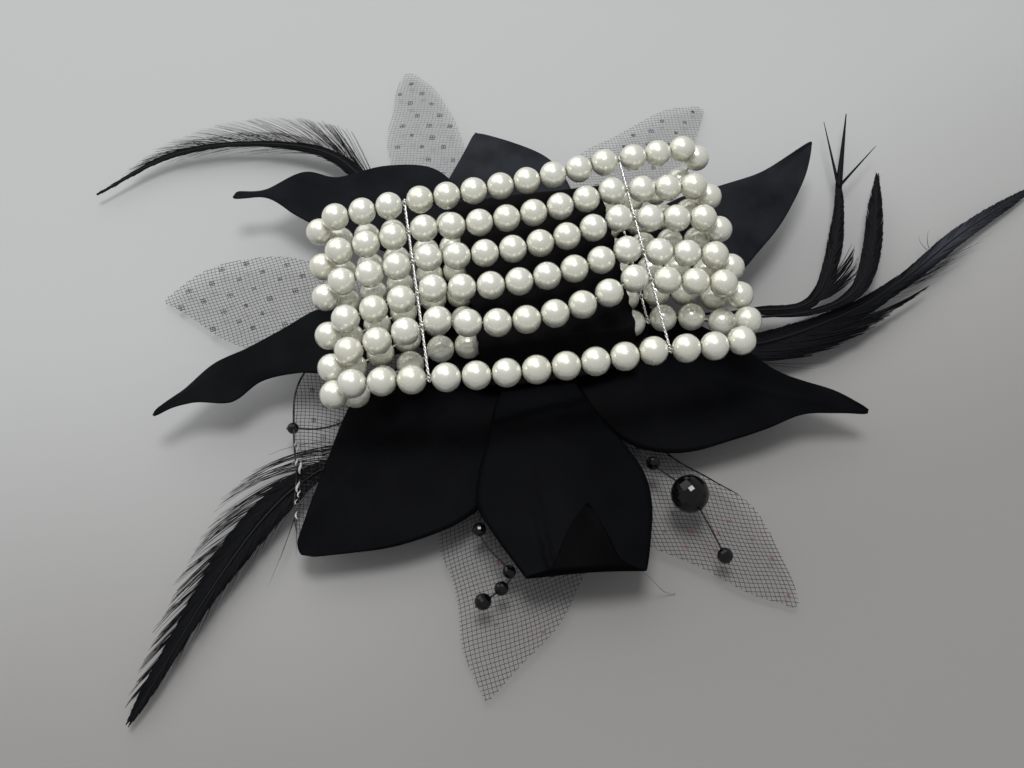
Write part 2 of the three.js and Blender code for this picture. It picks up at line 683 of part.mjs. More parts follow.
// The wire lies on the nets, lifted by the beads, and runs straight through each bead
let beadNumber = 0;
SPRAYS.forEach(({ root, points }, i) => {
  const wireRadius = SPRAY_WIRE_DIAMETER / 2;
  const start = rootPoint(root).setZ(quillZ);
  const places = points.map(([x, y, diameter]) => {
    const seat = netHeight(x, y, 1) + NET_THICKNESS / 2 + FIT;
    return new THREE.Vector3(x, y, seat + Math.max(diameter / 2, wireRadius));
  });
  const stops = [start, ...places];
  const route = [start];
  places.forEach((place, k) => {
    const diameter = points[k][2];
    const direction = (stops[k + 2] ?? place).clone().sub(stops[k]).normalize();
    if (diameter === 0) {
      route.push(place);
      return;
    }
    const reach = diameter / 2 + WIRE_TAIL;
    route.push(place.clone().addScaledVector(direction, -reach));
    route.push(place.clone().addScaledVector(direction, reach));
    beadNumber += 1;
    const bead = addMesh(flower, `spray_bead_${beadNumber}`, beadGeometry(diameter), JET);
    bead.position.copy(place);
    bead.quaternion.setFromUnitVectors(new THREE.Vector3(0, 1, 0), direction);
  });
  const curve = new THREE.CatmullRomCurve3(route, false, "catmullrom", WIRE_TENSION);
  const wire = new THREE.ExtrudeGeometry(polygon(wireRadius, 5), {
    steps: Math.ceil(curve.getLength() / WIRE_STEP),
    extrudePath: curve,
    bevelEnabled: false,
  });
  addMesh(flower, `spray_wire_${i + 1}`, wire, WIRE);
});

export default corsage;
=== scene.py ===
"""Looks of the wrist corsage: pearl strands, cloth petals, nets, feathers and bead sprays.

Shapes are worked out in millimetres as whole arrays, in the part's frame, and put into meshes in metres.
X runs along the strands, Y across them, and the flower lies face down on the table at Z = 0.
"""

import logging
from dataclasses import dataclass, fields, replace
from enum import Enum
from functools import cache

import bpy
import numpy as np
from mathutils import Matrix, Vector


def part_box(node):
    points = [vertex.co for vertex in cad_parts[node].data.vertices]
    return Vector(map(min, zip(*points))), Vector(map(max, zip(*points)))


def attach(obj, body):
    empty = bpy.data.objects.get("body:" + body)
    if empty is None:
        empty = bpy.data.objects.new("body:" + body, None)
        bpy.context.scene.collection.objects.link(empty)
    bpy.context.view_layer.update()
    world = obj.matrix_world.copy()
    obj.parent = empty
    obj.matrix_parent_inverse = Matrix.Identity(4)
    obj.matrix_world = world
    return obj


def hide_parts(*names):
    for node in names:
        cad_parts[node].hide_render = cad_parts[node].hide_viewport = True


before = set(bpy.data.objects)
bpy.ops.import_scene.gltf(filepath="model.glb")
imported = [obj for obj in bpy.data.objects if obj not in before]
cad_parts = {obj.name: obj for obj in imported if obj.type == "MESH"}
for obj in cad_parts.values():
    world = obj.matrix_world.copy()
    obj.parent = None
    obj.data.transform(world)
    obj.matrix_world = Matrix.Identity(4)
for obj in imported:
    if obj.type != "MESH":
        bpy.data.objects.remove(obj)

Array = np.ndarray
Colour = tuple[float, float, float]
Socket = bpy.types.NodeSocket
MM = 0.001
FLOWER_Y = -5.0
ROOT_RADIUS = 6.3
LEAF_REACH = 90.0
LEAST_HALF_WIDTH = 0.05
RIB_STEPS = 241
UP = np.array([0.0, 0.0, 1.0])
log = logging.getLogger("corsage")


class Body(Enum):
    """Moving bodies of the bracelet, and the flower that they hang on."""

    FLOWER = "flower"
    LOWER_LEFT = "lower_left"
    UPPER_LEFT = "upper_left"
    TOP_RUN = "top_run"
    LOWER_RIGHT = "lower_right"
    UPPER_RIGHT = "upper_right"


class Slot(Enum):
    """Finishes that the record names."""

    PEARL = "pearl"
    FELT = "felt"
    SATIN = "satin"
    TULLE = "tulle"
    FEATHER = "feather"
    JET = "jet"
    BLACK_WIRE = "black_wire"
    GLUE = "glue"


class NetKind(Enum):
    """How a net is decorated."""

    DOTTED = "dotted"
    SPECKLED = "speckled"


class Side(Enum):
    """Sides of a rib or a quill, looking from its root to its tip."""

    LEFT = 1
    RIGHT = -1


# Shapes


def unit(vectors: Array) -> Array:
    """Vectors scaled to a length of one."""
    return vectors / np.maximum(np.linalg.norm(vectors, axis=-1, keepdims=True), 1e-12)


def ease(value: Array | float, start: float, end: float) -> Array:
    """Smooth step of a value, from 0 at start to 1 at end: 3x^2 - 2x^3 of the share of the way."""
    share = np.clip((np.asarray(value, float) - start) / (end - start), 0.0, 1.0)
    return share * share * (3.0 - 2.0 * share)


def through(values: Array | tuple, share: Array | float) -> Array:
    """Smooth curve through equally spaced values, a Catmull-Rom cubic between each two.

    Args:
        values: numbers, or points in rows.
        share: places along the curve, 0 at the first value and 1 at the last.

    Returns:
        The value or point at each place.
    """
    known = np.asarray(values, float)
    last = len(known) - 1
    place = np.clip(np.asarray(share, float), 0.0, 1.0) * last
    left = np.minimum(place.astype(int), last - 1)
    step = (place - left).reshape(place.shape + (1,) * (known.ndim - 1))
    padded = np.concatenate([2 * known[:1] - known[1:2], known, 2 * known[-1:] - known[-2:-1]])
    a, b, c, d = (padded[left + k] for k in range(4))
    return b + 0.5 * step * (c - a + step * (2 * a - 5 * b + 4 * c - d + step * (3 * (b - c) + d - a)))


def parabola(start: Array, bend: Array, end: Array, steps: int) -> Array:
    """Points of a parabola from a start towards a bend and on to an end."""
    share = np.linspace(0, 1, steps)[:, None]
    return (1 - share) ** 2 * start + 2 * share * (1 - share) * bend + share**2 * end


def square_to(along: Array) -> tuple[Array, Array]:
    """Two directions square to each given one: a level one and one above it."""
    side = unit(np.cross(along, UP))
    return side, np.cross(side, along)


def stacked(*parts: Array | float) -> Array:
    """Coordinates brought to one shape and put side by side."""
    return np.stack(np.broadcast_arrays(*parts), -1)


def fan(middle: Array | int, here: Array, after: Array) -> Array:
    """Corner numbers of the triangles between a middle and each side of a ring."""
    return stacked(middle, here, after).reshape(-1, 3)


@dataclass
class Surface:
    """A mesh in millimetres.

    Attributes:
        points: places of the corners.
        quads: corner numbers of the four-sided faces.
        triangles: corner numbers of the three-sided faces.
        flat: place of each corner on the flat cloth, or along and round a strand.
        tone: shade of each corner, dark at 0 and light at 1; some lie past either.
        quad_finish: number of the finish of each four-sided face.
        triangle_finish: number of the finish of each three-sided face.
    """

    points: Array
    quads: Array
    triangles: Array
    flat: Array
    tone: Array
    quad_finish: Array
    triangle_finish: Array

    @classmethod
    def of(
        cls,
        points: Array,
        quads: Array,
        triangles: Array | None = None,
        flat: Array | None = None,
        tone: Array | float = 0.5,
        finish: int = 0,
    ) -> "Surface":
        """A surface with one finish; where no flat places are given, X and Y stand for them."""
        points = points.reshape(-1, 3)
        triangles = np.zeros((0, 3), int) if triangles is None else triangles
        return cls(
            points,
            quads.reshape(-1, 4),
            triangles,
            points[:, :2] if flat is None else flat.reshape(-1, 2),
            np.broadcast_to(np.asarray(tone, float).reshape(-1), (len(points),)),
            np.full(quads.size // 4, finish),
            np.full(len(triangles), finish),
        )

    @classmethod
    def grid(
        cls,
        points: Array,
        flat: Array | None = None,
        tone: Array | float = 0.5,
        finish: int = 0,
        around: bool = False,
        ring: bool = False,
    ) -> "Surface":
        """Quads between neighbours of a grid, or of a batch of grids.

        Args:
            points: places in rows and columns, with grids of a batch first.
            flat: place of each point on the flat cloth.
            tone: shade of each point, or of all.
            finish: number of the finish.
            around: whether the last column meets the first.
            ring: whether the last row meets the first.

        Returns:
            The surface, facing the side from which rows to columns turn left.
        """
        numbers = np.arange(points.size // 3).reshape((-1,) + points.shape[-3:-1])
        if around:
            numbers = np.concatenate([numbers, numbers[:, :, :1]], axis=2)
        if ring:
            numbers = np.concatenate([numbers, numbers[:, :1]], axis=1)
        corners = (numbers[:, :-1, :-1], numbers[:, 1:, :-1], numbers[:, 1:, 1:], numbers[:, :-1, 1:])
        return cls.of(points, np.stack(corners, -1), flat=flat, tone=tone, finish=finish)

    @classmethod
    def tubes(
        cls,
        paths: Array,
        radii: Array | float,
        sides: int = 6,
        flatness: float = 1.0,
        tone: Array | float = 0.5,
        finish: int = 0,
        ends: bool = True,
    ) -> "Surface":
        """Tubes: a round or flattened ring carried along each path, with a fan over each end.

        Args:
            paths: points of each path, paths first.
            radii: radius at each point, or at all.
            sides: corners of a ring.
            flatness: height of a ring as a share of its width.
            tone: shade of each path, or of all.
            finish: number of the finish.
            ends: whether the ends are closed; cut threads leave them open.

        Returns:
            All tubes as one surface.
        """
        count, steps = paths.shape[:2]
        side, top = square_to(unit(np.gradient(paths, axis=1)))
        angle = np.arange(sides) * 2 * np.pi / sides
        radius = np.broadcast_to(np.asarray(radii, float), (count, steps))[..., None, None]
        turn = np.cos(angle)[:, None] * side[:, :, None] + flatness * np.sin(angle)[:, None] * top[:, :, None]
        rings = paths[:, :, None] + radius * turn
        run = np.cumsum(np.linalg.norm(np.diff(paths, axis=1, prepend=paths[:, :1]), axis=-1), axis=1)
        flat = stacked(run[:, :, None], angle / (2 * np.pi))
        shade = np.broadcast_to(np.asarray(tone, float).reshape(-1, 1, 1), (count, steps, sides))
        wall = cls.grid(rings, flat, shade, finish, around=True)
        if not ends:
            return wall
        here = np.arange(sides)
        after = (here + 1) % sides
        first = np.arange(count)[:, None] * steps * sides
        last = first + (steps - 1) * sides
        middle = count * steps * sides + np.arange(count)[:, None]
        fans = [fan(middle, first + here, first + after), fan(middle + count, last + after, last + here)]
        return cls.of(
            np.concatenate([wall.points, paths[:, 0], paths[:, -1]]),
            wall.quads,
            np.concatenate(fans),
            np.concatenate([wall.flat, np.zeros((2 * count, 2))]),
            np.concatenate([wall.tone, np.tile(shade[:, 0, 0], 2)]),
            finish,
        )

    @classmethod
    def beads(
        cls,
        centres: Array,
        axes: Array,
        radii: Array | float,
        bore: float,
        sides: int,
        rings: int,
        tone: Array | float = 0.5,
        finish: int = 0,
    ) -> "Surface":
        """Drilled balls: half circles from one end of the bore to the other, turned about each axis.

        Args:
            centres: middle of each bead.
            axes: direction of each bore.
            radii: radius of each bead, or of all.
            bore: radius of the bores.
            sides: corners round a bead.
            rings: rings from one end of the bore to the other.
            tone: shade of each bead, or of all.
            finish: number of the finish.

        Returns:
            All beads as one surface; the bore closes each of them.
        """
        radius = np.broadcast_to(np.asarray(radii, float), (len(centres),))[:, None, None, None]
        first = np.arcsin(bore / radius)
        share = np.linspace(0, 1, rings)[:, None, None]
        latitude = first + (np.pi - 2 * first) * share
        along = unit(axes)[:, None, None]
        side, top = square_to(along)
        angle = (np.arange(sides) * 2 * np.pi / sides)[:, None]
        turn = np.cos(angle) * side + np.sin(angle) * top
        points = centres[:, None, None] + radius * (np.sin(latitude) * turn - np.cos(latitude) * along)
        shade = np.broadcast_to(np.asarray(tone, float).reshape(-1, 1, 1), points.shape[:3])
        return cls.grid(points, tone=shade, finish=finish, around=True, ring=True)

    @classmethod
    def join(cls, surfaces: list["Surface"]) -> "Surface":
        """Several surfaces as one, corner numbers carried on."""
        starts = np.cumsum([0] + [len(s.points) for s in surfaces[:-1]])
        moved = [replace(s, quads=s.quads + n, triangles=s.triangles + n) for s, n in zip(surfaces, starts)]
        return cls(*(np.concatenate([getattr(s, column.name) for s in moved]) for column in fields(cls)))

    def closed_over(self, columns: int) -> "Surface":
        """The same with a fan over its first and last ring, each of the given number of corners."""
        here = np.arange(columns)
        after = (here + 1) % columns
        count = len(self.points)
        last = count - columns
        rings = (slice(columns), slice(last, None))
        return Surface.of(
            np.concatenate([self.points, [self.points[ring].mean(0) for ring in rings]]),
            self.quads,
            np.concatenate([fan(count, here, after), fan(count + 1, last + after, last + here)]),
            np.concatenate([self.flat, [self.flat[ring].mean(0) for ring in rings]]),
            np.concatenate([self.tone, [self.tone[0], self.tone[-1]]]),
            int(self.quad_finish[0]),
        )

    def mesh(self, name: str, smooth: bool) -> bpy.types.Mesh:
        """The surface as a mesh in metres, with its flat places as a UV map and its tone as an attribute."""
        mesh = bpy.data.meshes.new(name)
        corners = np.concatenate([self.quads.ravel(), self.triangles.ravel()]).astype(np.int32)
        sizes = np.concatenate([np.full(len(self.quads), 4), np.full(len(self.triangles), 3)])
        starts = np.concatenate([[0], np.cumsum(sizes)[:-1]]).astype(np.int32)
        mesh.vertices.add(len(self.points))
        mesh.vertices.foreach_set("co", (self.points * MM).astype(np.float32).ravel())
        mesh.loops.add(len(corners))
        mesh.loops.foreach_set("vertex_index", corners)
        mesh.polygons.add(len(sizes))
        mesh.polygons.foreach_set("loop_start", starts)
        finishes = np.concatenate([self.quad_finish, self.triangle_finish]).astype(np.int32)
        mesh.polygons.foreach_set("material_index", finishes)
        mesh.update(calc_edges=True)
        mesh.polygons.foreach_set("use_smooth", np.full(len(sizes), smooth))
        layer = mesh.uv_layers.new(name="flat")
        layer.data.foreach_set("uv", self.flat[corners].astype(np.float32).ravel())
        shade = mesh.attributes.new("tone", "FLOAT", "POINT")
        shade.data.foreach_set("value", self.tone.astype(np.float32))
        return mesh


@dataclass
class Rib:
    """A line seen from above, along which a leaf or a feather grows.

    Attributes:
        line: points of the line, close together.
    """

    line: Array

    def __post_init__(self) -> None:
        """Measures the line and its direction."""
        steps = np.linalg.norm(np.diff(self.line, axis=0), axis=1)
        self.run = np.concatenate([[0.0], np.cumsum(steps)])
        self.length = float(self.run[-1])
        self.slope = unit(np.gradient(self.line, self.run, axis=0))

    def place(self, share: Array, offset: Array) -> Array:
        """Points beside the line, straight on past its ends.

        Args:
            share: place along the line, 0 at its root and 1 at its tip.
            offset: distance to the left of the line.

        Returns:
            X and Y of each point.
        """
        run = np.asarray(share, float) * self.length
        on_line = stacked(*(np.interp(run, self.run, column) for column in self.line.T))
        along = unit(stacked(*(np.interp(run, self.run, column) for column in self.slope.T)))
        beyond = (run - np.clip(run, 0.0, self.length))[..., None]
        left = stacked(-along[..., 1], along[..., 0])
        return on_line + beyond * along + np.asarray(offset, float)[..., None] * left


def root_point(degrees: float) -> Array:
    """Place round the glue core where a leaf, feather or spray starts."""
    angle = np.radians(degrees)
    return np.array([ROOT_RADIUS * np.cos(angle), FLOWER_Y + ROOT_RADIUS * np.sin(angle)])


def reach_share(places: Array) -> Array:
    """How far out places of the flower lie, as a share of the reach of its leaves."""
    return np.hypot(places[..., 0], places[..., 1] - FLOWER_Y) / LEAF_REACH


def twisted(path: Array, spread: Array | float, angle: Array, radius: float, finish: int) -> Surface:
    """Two strands wound round each other: each keeps a set distance from the path as it turns about it.

    Args:
        path: points of the middle line.
        spread: distance of each strand from it, at each point or at all.
        angle: how far the strands have turned at each point.
        radius: radius of a strand.
        finish: number of the finish.

    Returns:
        Both strands.
    """
    side, top = square_to(unit(np.gradient(path, axis=0)))
    outward = np.cos(angle)[:, None] * side + np.sin(angle)[:, None] * top
    away = outward * np.broadcast_to(spread, (len(path),))[:, None]
    return Surface.tubes(np.stack([path + away, path - away]), radius, finish=finish)


# Finishes


class NodeSheet:
    """A node tree with short ways to add and join its nodes."""

    def __init__(self, tree: bpy.types.NodeTree) -> None:
        """Takes the tree, emptied."""
        self.tree = tree
        tree.nodes.clear()

    def add(self, kind: str, inputs: dict | None = None, **settings: object) -> bpy.types.Node:
        """Adds a node.

        Args:
            kind: name of the node's type, after ShaderNode.
            inputs: a value or an output socket for each named or numbered input.
            settings: other properties of the node.

        Returns:
            The node.
        """
        node = self.tree.nodes.new(kind if kind.startswith("Node") else "ShaderNode" + kind)
        for key, value in settings.items():
            setattr(node, key, value)
        for key, value in (inputs or {}).items():
            if isinstance(value, bpy.types.NodeSocket):
                self.tree.links.new(value, node.inputs[key])
            else:
                node.inputs[key].default_value = value
        return node

    def maths(self, operation: str, *values: object) -> Socket:
        """Result of a sum on values or sockets."""
        return self.add("Math", dict(enumerate(values)), operation=operation).outputs[0]

    def scaled(self, place: Socket, scale: object) -> Socket:
        """A place with all its coordinates multiplied."""
        return self.add("VectorMath", {0: place, "Scale": scale}, operation="SCALE").outputs[0]

    def blend(self, share: Socket, first: object, second: object, clamped: bool = True) -> Socket:
        """Colour between two by a share, or past them where the share is not clamped."""
        ends = {0: share, 6: first, 7: second}
        return self.add("Mix", ends, data_type="RGBA", clamp_factor=clamped).outputs[2]

    def noise(self, place: Socket, scale: float, detail: float) -> Socket:
        """Cloudy value from 0 to 1 at a place."""
        return self.add("TexNoise", {"Vector": place, "Scale": scale, "Detail": detail}).outputs[0]

    def bump(self, height: Socket, depth: float, strength: float) -> Socket:
        """Normal of a height pattern with a depth in millimetres."""
        given = {"Height": height, "Distance": depth * MM, "Strength": strength}
        return self.add("Bump", given).outputs[0]

    def group(self, tree: bpy.types.NodeTree, inputs: dict) -> bpy.types.NodeOutputs:
        """What a node group gives for some inputs."""
        return self.add("Group", inputs, node_tree=tree).outputs

    def millimetres(self) -> Socket:
        """Place on the part in millimetres."""
        return self.scaled(self.add("TexCoord").outputs["Object"], 1 / MM)

    def tone(self) -> Socket:
        """Shade that the mesh carries."""
        return self.add("Attribute", attribute_name="tone").outputs["Fac"]

    def flat(self) -> Socket:
        """Place on the flat cloth, or along a strand."""
        return self.add("UVMap", uv_map="flat").outputs[0]


class Effects:
    """Patterns that several finishes share, each a node group that is made once."""

    @staticmethod
    def start(name: str, inputs: str, outputs: str) -> tuple[NodeSheet, bpy.types.NodeOutputs]:
        """Opens a new group.

        Args:
            name: name of the group.
            inputs: its input sockets, each as its label and its kind.
            outputs: its output sockets in the same way.

        Returns:
            The group's sheet and what its inputs give.
        """
        tree = bpy.data.node_groups.new(name, "ShaderNodeTree")
        for way, sockets in (("INPUT", inputs), ("OUTPUT", outputs)):
            for socket in sockets.split():
                label, kind = socket.split(":")
                tree.interface.new_socket(label, in_out=way, socket_type="NodeSocket" + kind)
        sheet = NodeSheet(tree)
        return sheet, sheet.add("NodeGroupInput").outputs

    @staticmethod
    @cache
    def weave() -> bpy.types.NodeTree:
        """Plain weave: the product of a wave along the warp and one along the weft, roughened by noise."""
        sheet, given = Effects.start("weave", "Place:Vector Pitch:Float", "Height:Float Shade:Float")
        turn = sheet.maths("DIVIDE", 2 * np.pi, given["Pitch"])
        parts = sheet.add("SeparateXYZ", {0: sheet.scaled(given["Place"], turn)}).outputs
        product = sheet.maths("MULTIPLY", sheet.maths("SINE", parts[0]), sheet.maths("SINE", parts[1]))
        crossing = sheet.maths("MULTIPLY", product, 0.35)
        slub = sheet.noise(given["Place"], scale=1.4, detail=3.0)
        cloud = sheet.noise(given["Place"], scale=0.09, detail=4.0)
        height = sheet.maths("MULTIPLY_ADD", slub, 0.6, crossing)
        sheet.add("NodeGroupOutput", {"Height": height, "Shade": cloud})
        return sheet.tree

    @staticmethod
    @cache
    def fuzz() -> bpy.types.NodeTree:
        """Matted fibres: fine noise on half as much of a coarser one."""
        sheet, given = Effects.start("fuzz", "Place:Vector", "Height:Float")
        coarse = sheet.noise(given["Place"], scale=0.8, detail=3.0)
        fine = sheet.noise(given["Place"], scale=5.0, detail=5.0)
        sheet.add("NodeGroupOutput", {"Height": sheet.maths("MULTIPLY_ADD", coarse, 0.5, fine)})
        return sheet.tree

    @staticmethod
    @cache
    def strand() -> bpy.types.NodeTree:
        """Colour of a strand: between two by its own tone and a noise along it; a tone over 1 goes past the
        light colour, as a painted gleam.
        """
        inputs = "Place:Vector Tone:Float Dark:Color Light:Color"
        sheet, given = Effects.start("strand", inputs, "Colour:Color Streak:Float")
        streak = sheet.noise(given["Place"], scale=0.7, detail=3.0)
        share = sheet.maths("MULTIPLY", sheet.maths("ADD", streak, given["Tone"]), 0.5)
        colour = sheet.blend(share, given["Dark"], given["Light"], clamped=False)
        sheet.add("NodeGroupOutput", {"Colour": colour, "Streak": streak})
        return sheet.tree

    @staticmethod
    @cache
    def nacre() -> bpy.types.NodeTree:
        """Pearl coat: two tints that drift over a bead and from bead to bead, and a gloss that drifts too."""
        inputs = "Place:Vector Tone:Float Dark:Color Light:Color"
        sheet, given = Effects.start("nacre", inputs, "Colour:Color Gloss:Float")
        drift = sheet.noise(given["Place"], scale=0.35, detail=2.0)
        mottle = sheet.noise(given["Place"], scale=0.8, detail=1.0)
        own = sheet.maths("MULTIPLY", given["Tone"], 0.45)
        share = sheet.maths("MULTIPLY_ADD", drift, 0.55, own)
        colour = sheet.blend(share, given["Light"], given["Dark"])
        gloss = sheet.maths("MULTIPLY_ADD", mottle, 0.08, 0.24)
        sheet.add("NodeGroupOutput", {"Colour": colour, "Gloss": gloss})
        return sheet.tree


@dataclass(frozen=True)
class Finish:
    """A finish: what its material is called, the plain values of its shader, and two colours that it mixes.

    Attributes:
        name: name of the material.
        plain: values that are the same all over, by socket of the shader.
        dark: the darker colour.
        light: the lighter colour.
    """

    name: str
    plain: dict[str, float]
    dark: Colour
    light: Colour

    def colours(self) -> dict[str, tuple[float, ...]]:
        """Both colours, for the sockets of a pattern."""
        return {"Dark": (*self.dark, 1), "Light": (*self.light, 1)}

    def material(self) -> bpy.types.Material:
        """The finish as a material, made once."""
        known = bpy.data.materials.get(self.name)
        if known:
            return known
        material = bpy.data.materials.new(self.name)
        material.use_nodes = True
        sheet = NodeSheet(material.node_tree)
        shader = sheet.add("BsdfPrincipled", self.plain)
        sheet.add("OutputMaterial", {"Surface": shader.outputs[0]})
        for socket, value in self.pattern(sheet).items():
            sheet.tree.links.new(value, shader.inputs[socket])
        return material

    def pattern(self, sheet: NodeSheet) -> dict[str, Socket]:
        """Outputs for those sockets of the shader that vary over the surface."""
        return {}


@dataclass(frozen=True)
class PearlFinish(Finish):
    """Ivory pearl coat over a plastic bead."""

    def pattern(self, sheet: NodeSheet) -> dict[str, Socket]:
        """Drifting tint and gloss."""
        given = {"Place": sheet.millimetres(), "Tone": sheet.tone(), **self.colours()}
        coat = sheet.group(Effects.nacre(), given)
        return {"Base Color": coat["Colour"], "Roughness": coat["Gloss"]}


@dataclass(frozen=True)
class ClothFinish(Finish):
    """Woven cloth, its colours in clouds and lightened by the mesh's tone, which paints sheen.

    Attributes:
        pitch: distance from thread to thread.
        depth: depth of the weave.
    """

    pitch: float = 0.42
    depth: float = 0.06

    def pattern(self, sheet: NodeSheet) -> dict[str, Socket]:
        """Clouded colour, lightened by the tone as painted sheen, and a weave that follows the cloth."""
        cloth = sheet.group(Effects.weave(), {"Place": sheet.flat(), "Pitch": self.pitch})
        share = sheet.maths("MULTIPLY", cloth["Shade"], sheet.maths("MULTIPLY", sheet.tone(), 2.0))
        colour = sheet.blend(share, *self.colours().values())
        return {"Base Color": colour, "Normal": sheet.bump(cloth["Height"], self.depth, strength=0.55)}


@dataclass(frozen=True)
class FeltFinish(Finish):
    """Matted felt, with painted shade in its hollows and painted light on its raised fibres.

    Attributes:
        depth: depth of its fibres.
    """

    depth: float = 0.25

    def pattern(self, sheet: NodeSheet) -> dict[str, Socket]:
        """Fibres in height, and in colour as painted shade in the hollows and painted light on the raised
        fibres.
        """
        height = sheet.group(Effects.fuzz(), {"Place": sheet.millimetres()})["Height"]
        colour = sheet.blend(height, *self.colours().values())
        return {"Base Color": colour, "Normal": sheet.bump(height, self.depth, strength=0.7)}


@dataclass(frozen=True)
class StrandFinish(Finish):
    """Threads, barbs, wires, elastic and glue: a colour that streaks along the strand.

    Attributes:
        rough: roughness where the streak is weakest.
        rougher: what the streak adds to it.
    """

    rough: float = 0.4
    rougher: float = 0.2

    def pattern(self, sheet: NodeSheet) -> dict[str, Socket]:
        """Streaked colour and roughness."""
        given = {"Place": sheet.millimetres(), "Tone": sheet.tone(), **self.colours()}
        strand = sheet.group(Effects.strand(), given)
        rough = sheet.maths("MULTIPLY_ADD", strand["Streak"], self.rougher, self.rough)
        return {"Base Color": strand["Colour"], "Roughness": rough}


@dataclass(frozen=True)
class TableFinish(Finish):
    """Matt pale table top, its colour painted darker towards the near right: painted shade where less lamp
    light falls.

    Attributes:
        near: where the darkest painted shade ends, in millimetres towards the back.
        far: where the light colour starts.
        aside: distance to the left past which it grows no lighter.
        slant: how much of the way to the right counts as way to the front.
        cloud: how far the clouds move the change of colour.
    """

    near: float = -95.0
    far: float = 45.0
    aside: float = -40.0
    slant: float = 0.35
    cloud: float = 16.0

    def pattern(self, sheet: NodeSheet) -> dict[str, Socket]:
        """A smooth drift of painted shade from dark to light, with faint clouds."""
        place = sheet.millimetres()
        parts = sheet.add("SeparateXYZ", {0: place}).outputs
        aside = sheet.maths("MAXIMUM", parts[0], self.aside)
        drift = sheet.maths("MULTIPLY_ADD", aside, -self.slant, parts[1])
        cloud = sheet.maths("MULTIPLY_ADD", sheet.noise(place, scale=0.012, detail=3.0), self.cloud, drift)
        limits = {0: cloud, 1: self.near + self.cloud / 2, 2: self.far + self.cloud / 2}
        share = sheet.add("MapRange", limits, interpolation_type="SMOOTHSTEP").outputs[0]
        return {"Base Color": sheet.blend(share, *self.colours().values())}


PEARL = PearlFinish(
    "pearl_coat",
    {"Metallic": 0.42, "Coat Weight": 1.0, "Coat Roughness": 0.08, "IOR": 1.5},
    dark=(0.80, 0.79, 0.66),
    light=(0.87, 0.87, 0.80),
)
ELASTIC = StrandFinish(
    "clear_elastic", {"Specular IOR Level": 0.4}, (0.42, 0.42, 0.40), (0.58, 0.58, 0.55), rough=0.25
)
SILVER = StrandFinish(
    "silver_wire", {"Metallic": 1.0}, (0.5, 0.5, 0.48), (0.84, 0.84, 0.81), rough=0.16, rougher=0.12
)
FELT = FeltFinish(
    "black_felt",
    {"Roughness": 0.95, "Specular IOR Level": 0.04},
    dark=(0.0018, 0.0018, 0.0022),
    light=(0.0075, 0.0075, 0.0082),
)
# Its light colour is painted sheen: a high tone mixes it into the satin where a petal tilts towards the lamps;
# at the plain tone of 0.05 the cloth stays near its dark colour.
SATIN = ClothFinish(
    "black_satin",
    {"Roughness": 0.45, "Specular IOR Level": 0.02},
    dark=(0.0009, 0.0009, 0.0013),
    light=(0.036, 0.040, 0.047),
)
# Its light colour is painted light on black threads, which a net's shade mixes in.
TULLE = StrandFinish(
    "black_tulle", {"Specular IOR Level": 0.2}, (0.010, 0.010, 0.010), (0.5, 0.5, 0.51), rough=0.6
)
SPECK = StrandFinish("red_specks", {"Specular IOR Level": 0.4}, (0.16, 0.03, 0.025), (0.28, 0.06, 0.045))
VANE = StrandFinish(
    "black_feather",
    {"Specular IOR Level": 0.11},
    dark=(0.0012, 0.0012, 0.0020),
    light=(0.0054, 0.0058, 0.0077),
    rough=0.36,
)
QUILL = StrandFinish(
    "feather_quill", {"Specular IOR Level": 0.2}, (0.001, 0.001, 0.0016), (0.004, 0.004, 0.005)
)
JET = StrandFinish(
    "jet_glass",
    {"IOR": 1.55, "Specular IOR Level": 0.3},
    dark=(0.0012, 0.0012, 0.0015),
    light=(0.003, 0.003, 0.004),
    rough=0.04,
    rougher=0.06,
)
BLACK_WIRE = StrandFinish(
    "black_wire", {"Specular IOR Level": 0.5}, (0.005, 0.005, 0.006), (0.02, 0.02, 0.022), rough=0.25
)
GLUE = StrandFinish(
    "dry_glue",
    {"Transmission Weight": 0.55, "IOR": 1.48},
    dark=(0.62, 0.62, 0.60),
    light=(0.80, 0.80, 0.78),
    rough=0.12,
    rougher=0.1,
)
# Its dark colour is painted shade towards the near right; its light colour is the pale table.
TABLE = TableFinish(
    "table_top",
    {"Roughness": 0.7, "Specular IOR Level": 0.15},
    dark=(0.285, 0.275, 0.268),
    light=(0.470, 0.472, 0.472),
)


def place_piece(
    name: str,
    surface: Surface,
    finishes: list[Finish],
    nodes: tuple[str, ...] = (),
    body: Body = Body.FLOWER,
    smooth: bool = True,
) -> bpy.types.Object:
    """Puts a surface into the scene as a piece of the part.

    Args:
        name: name of the piece.
        surface: its shape.
        finishes: its finishes, by number.
        nodes: solids that it stands for.
        body: the body that it rides on.
        smooth: whether its faces are shaded smooth.

    Returns:
        The new object.
    """
    mesh = surface.mesh(name, smooth)
    for finish in finishes:
        mesh.materials.append(finish.material())
    piece = bpy.data.objects.new(name, mesh)
    bpy.context.scene.collection.objects.link(piece)
    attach(piece, body.value)
    if nodes:
        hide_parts(*nodes)
    log.info("%s: %d faces on %s", name, len(mesh.polygons), body.value)
    return piece


def thicken(piece: bpy.types.Object, thickness: float) -> None:
    """Gives a sheet its thickness, half on each side."""
    solid = piece.modifiers.new("cloth", "SOLIDIFY")
    solid.thickness = thickness * MM
    solid.offset = 0.0


# Bracelet


@dataclass(frozen=True)
class StrandLie:
    """How far a strand lies off its even row, towards +Y.

    Attributes:
        run: at the left and the right end of its upper run.
        fold: at the left and the right fold.
        sag: how far its upper run sags in between.
        lateness: power of the way by which it drifts to the right fold on top.
    """

    run: tuple[float, float]
    fold: tuple[float, float]
    sag: float
    lateness: int = 1


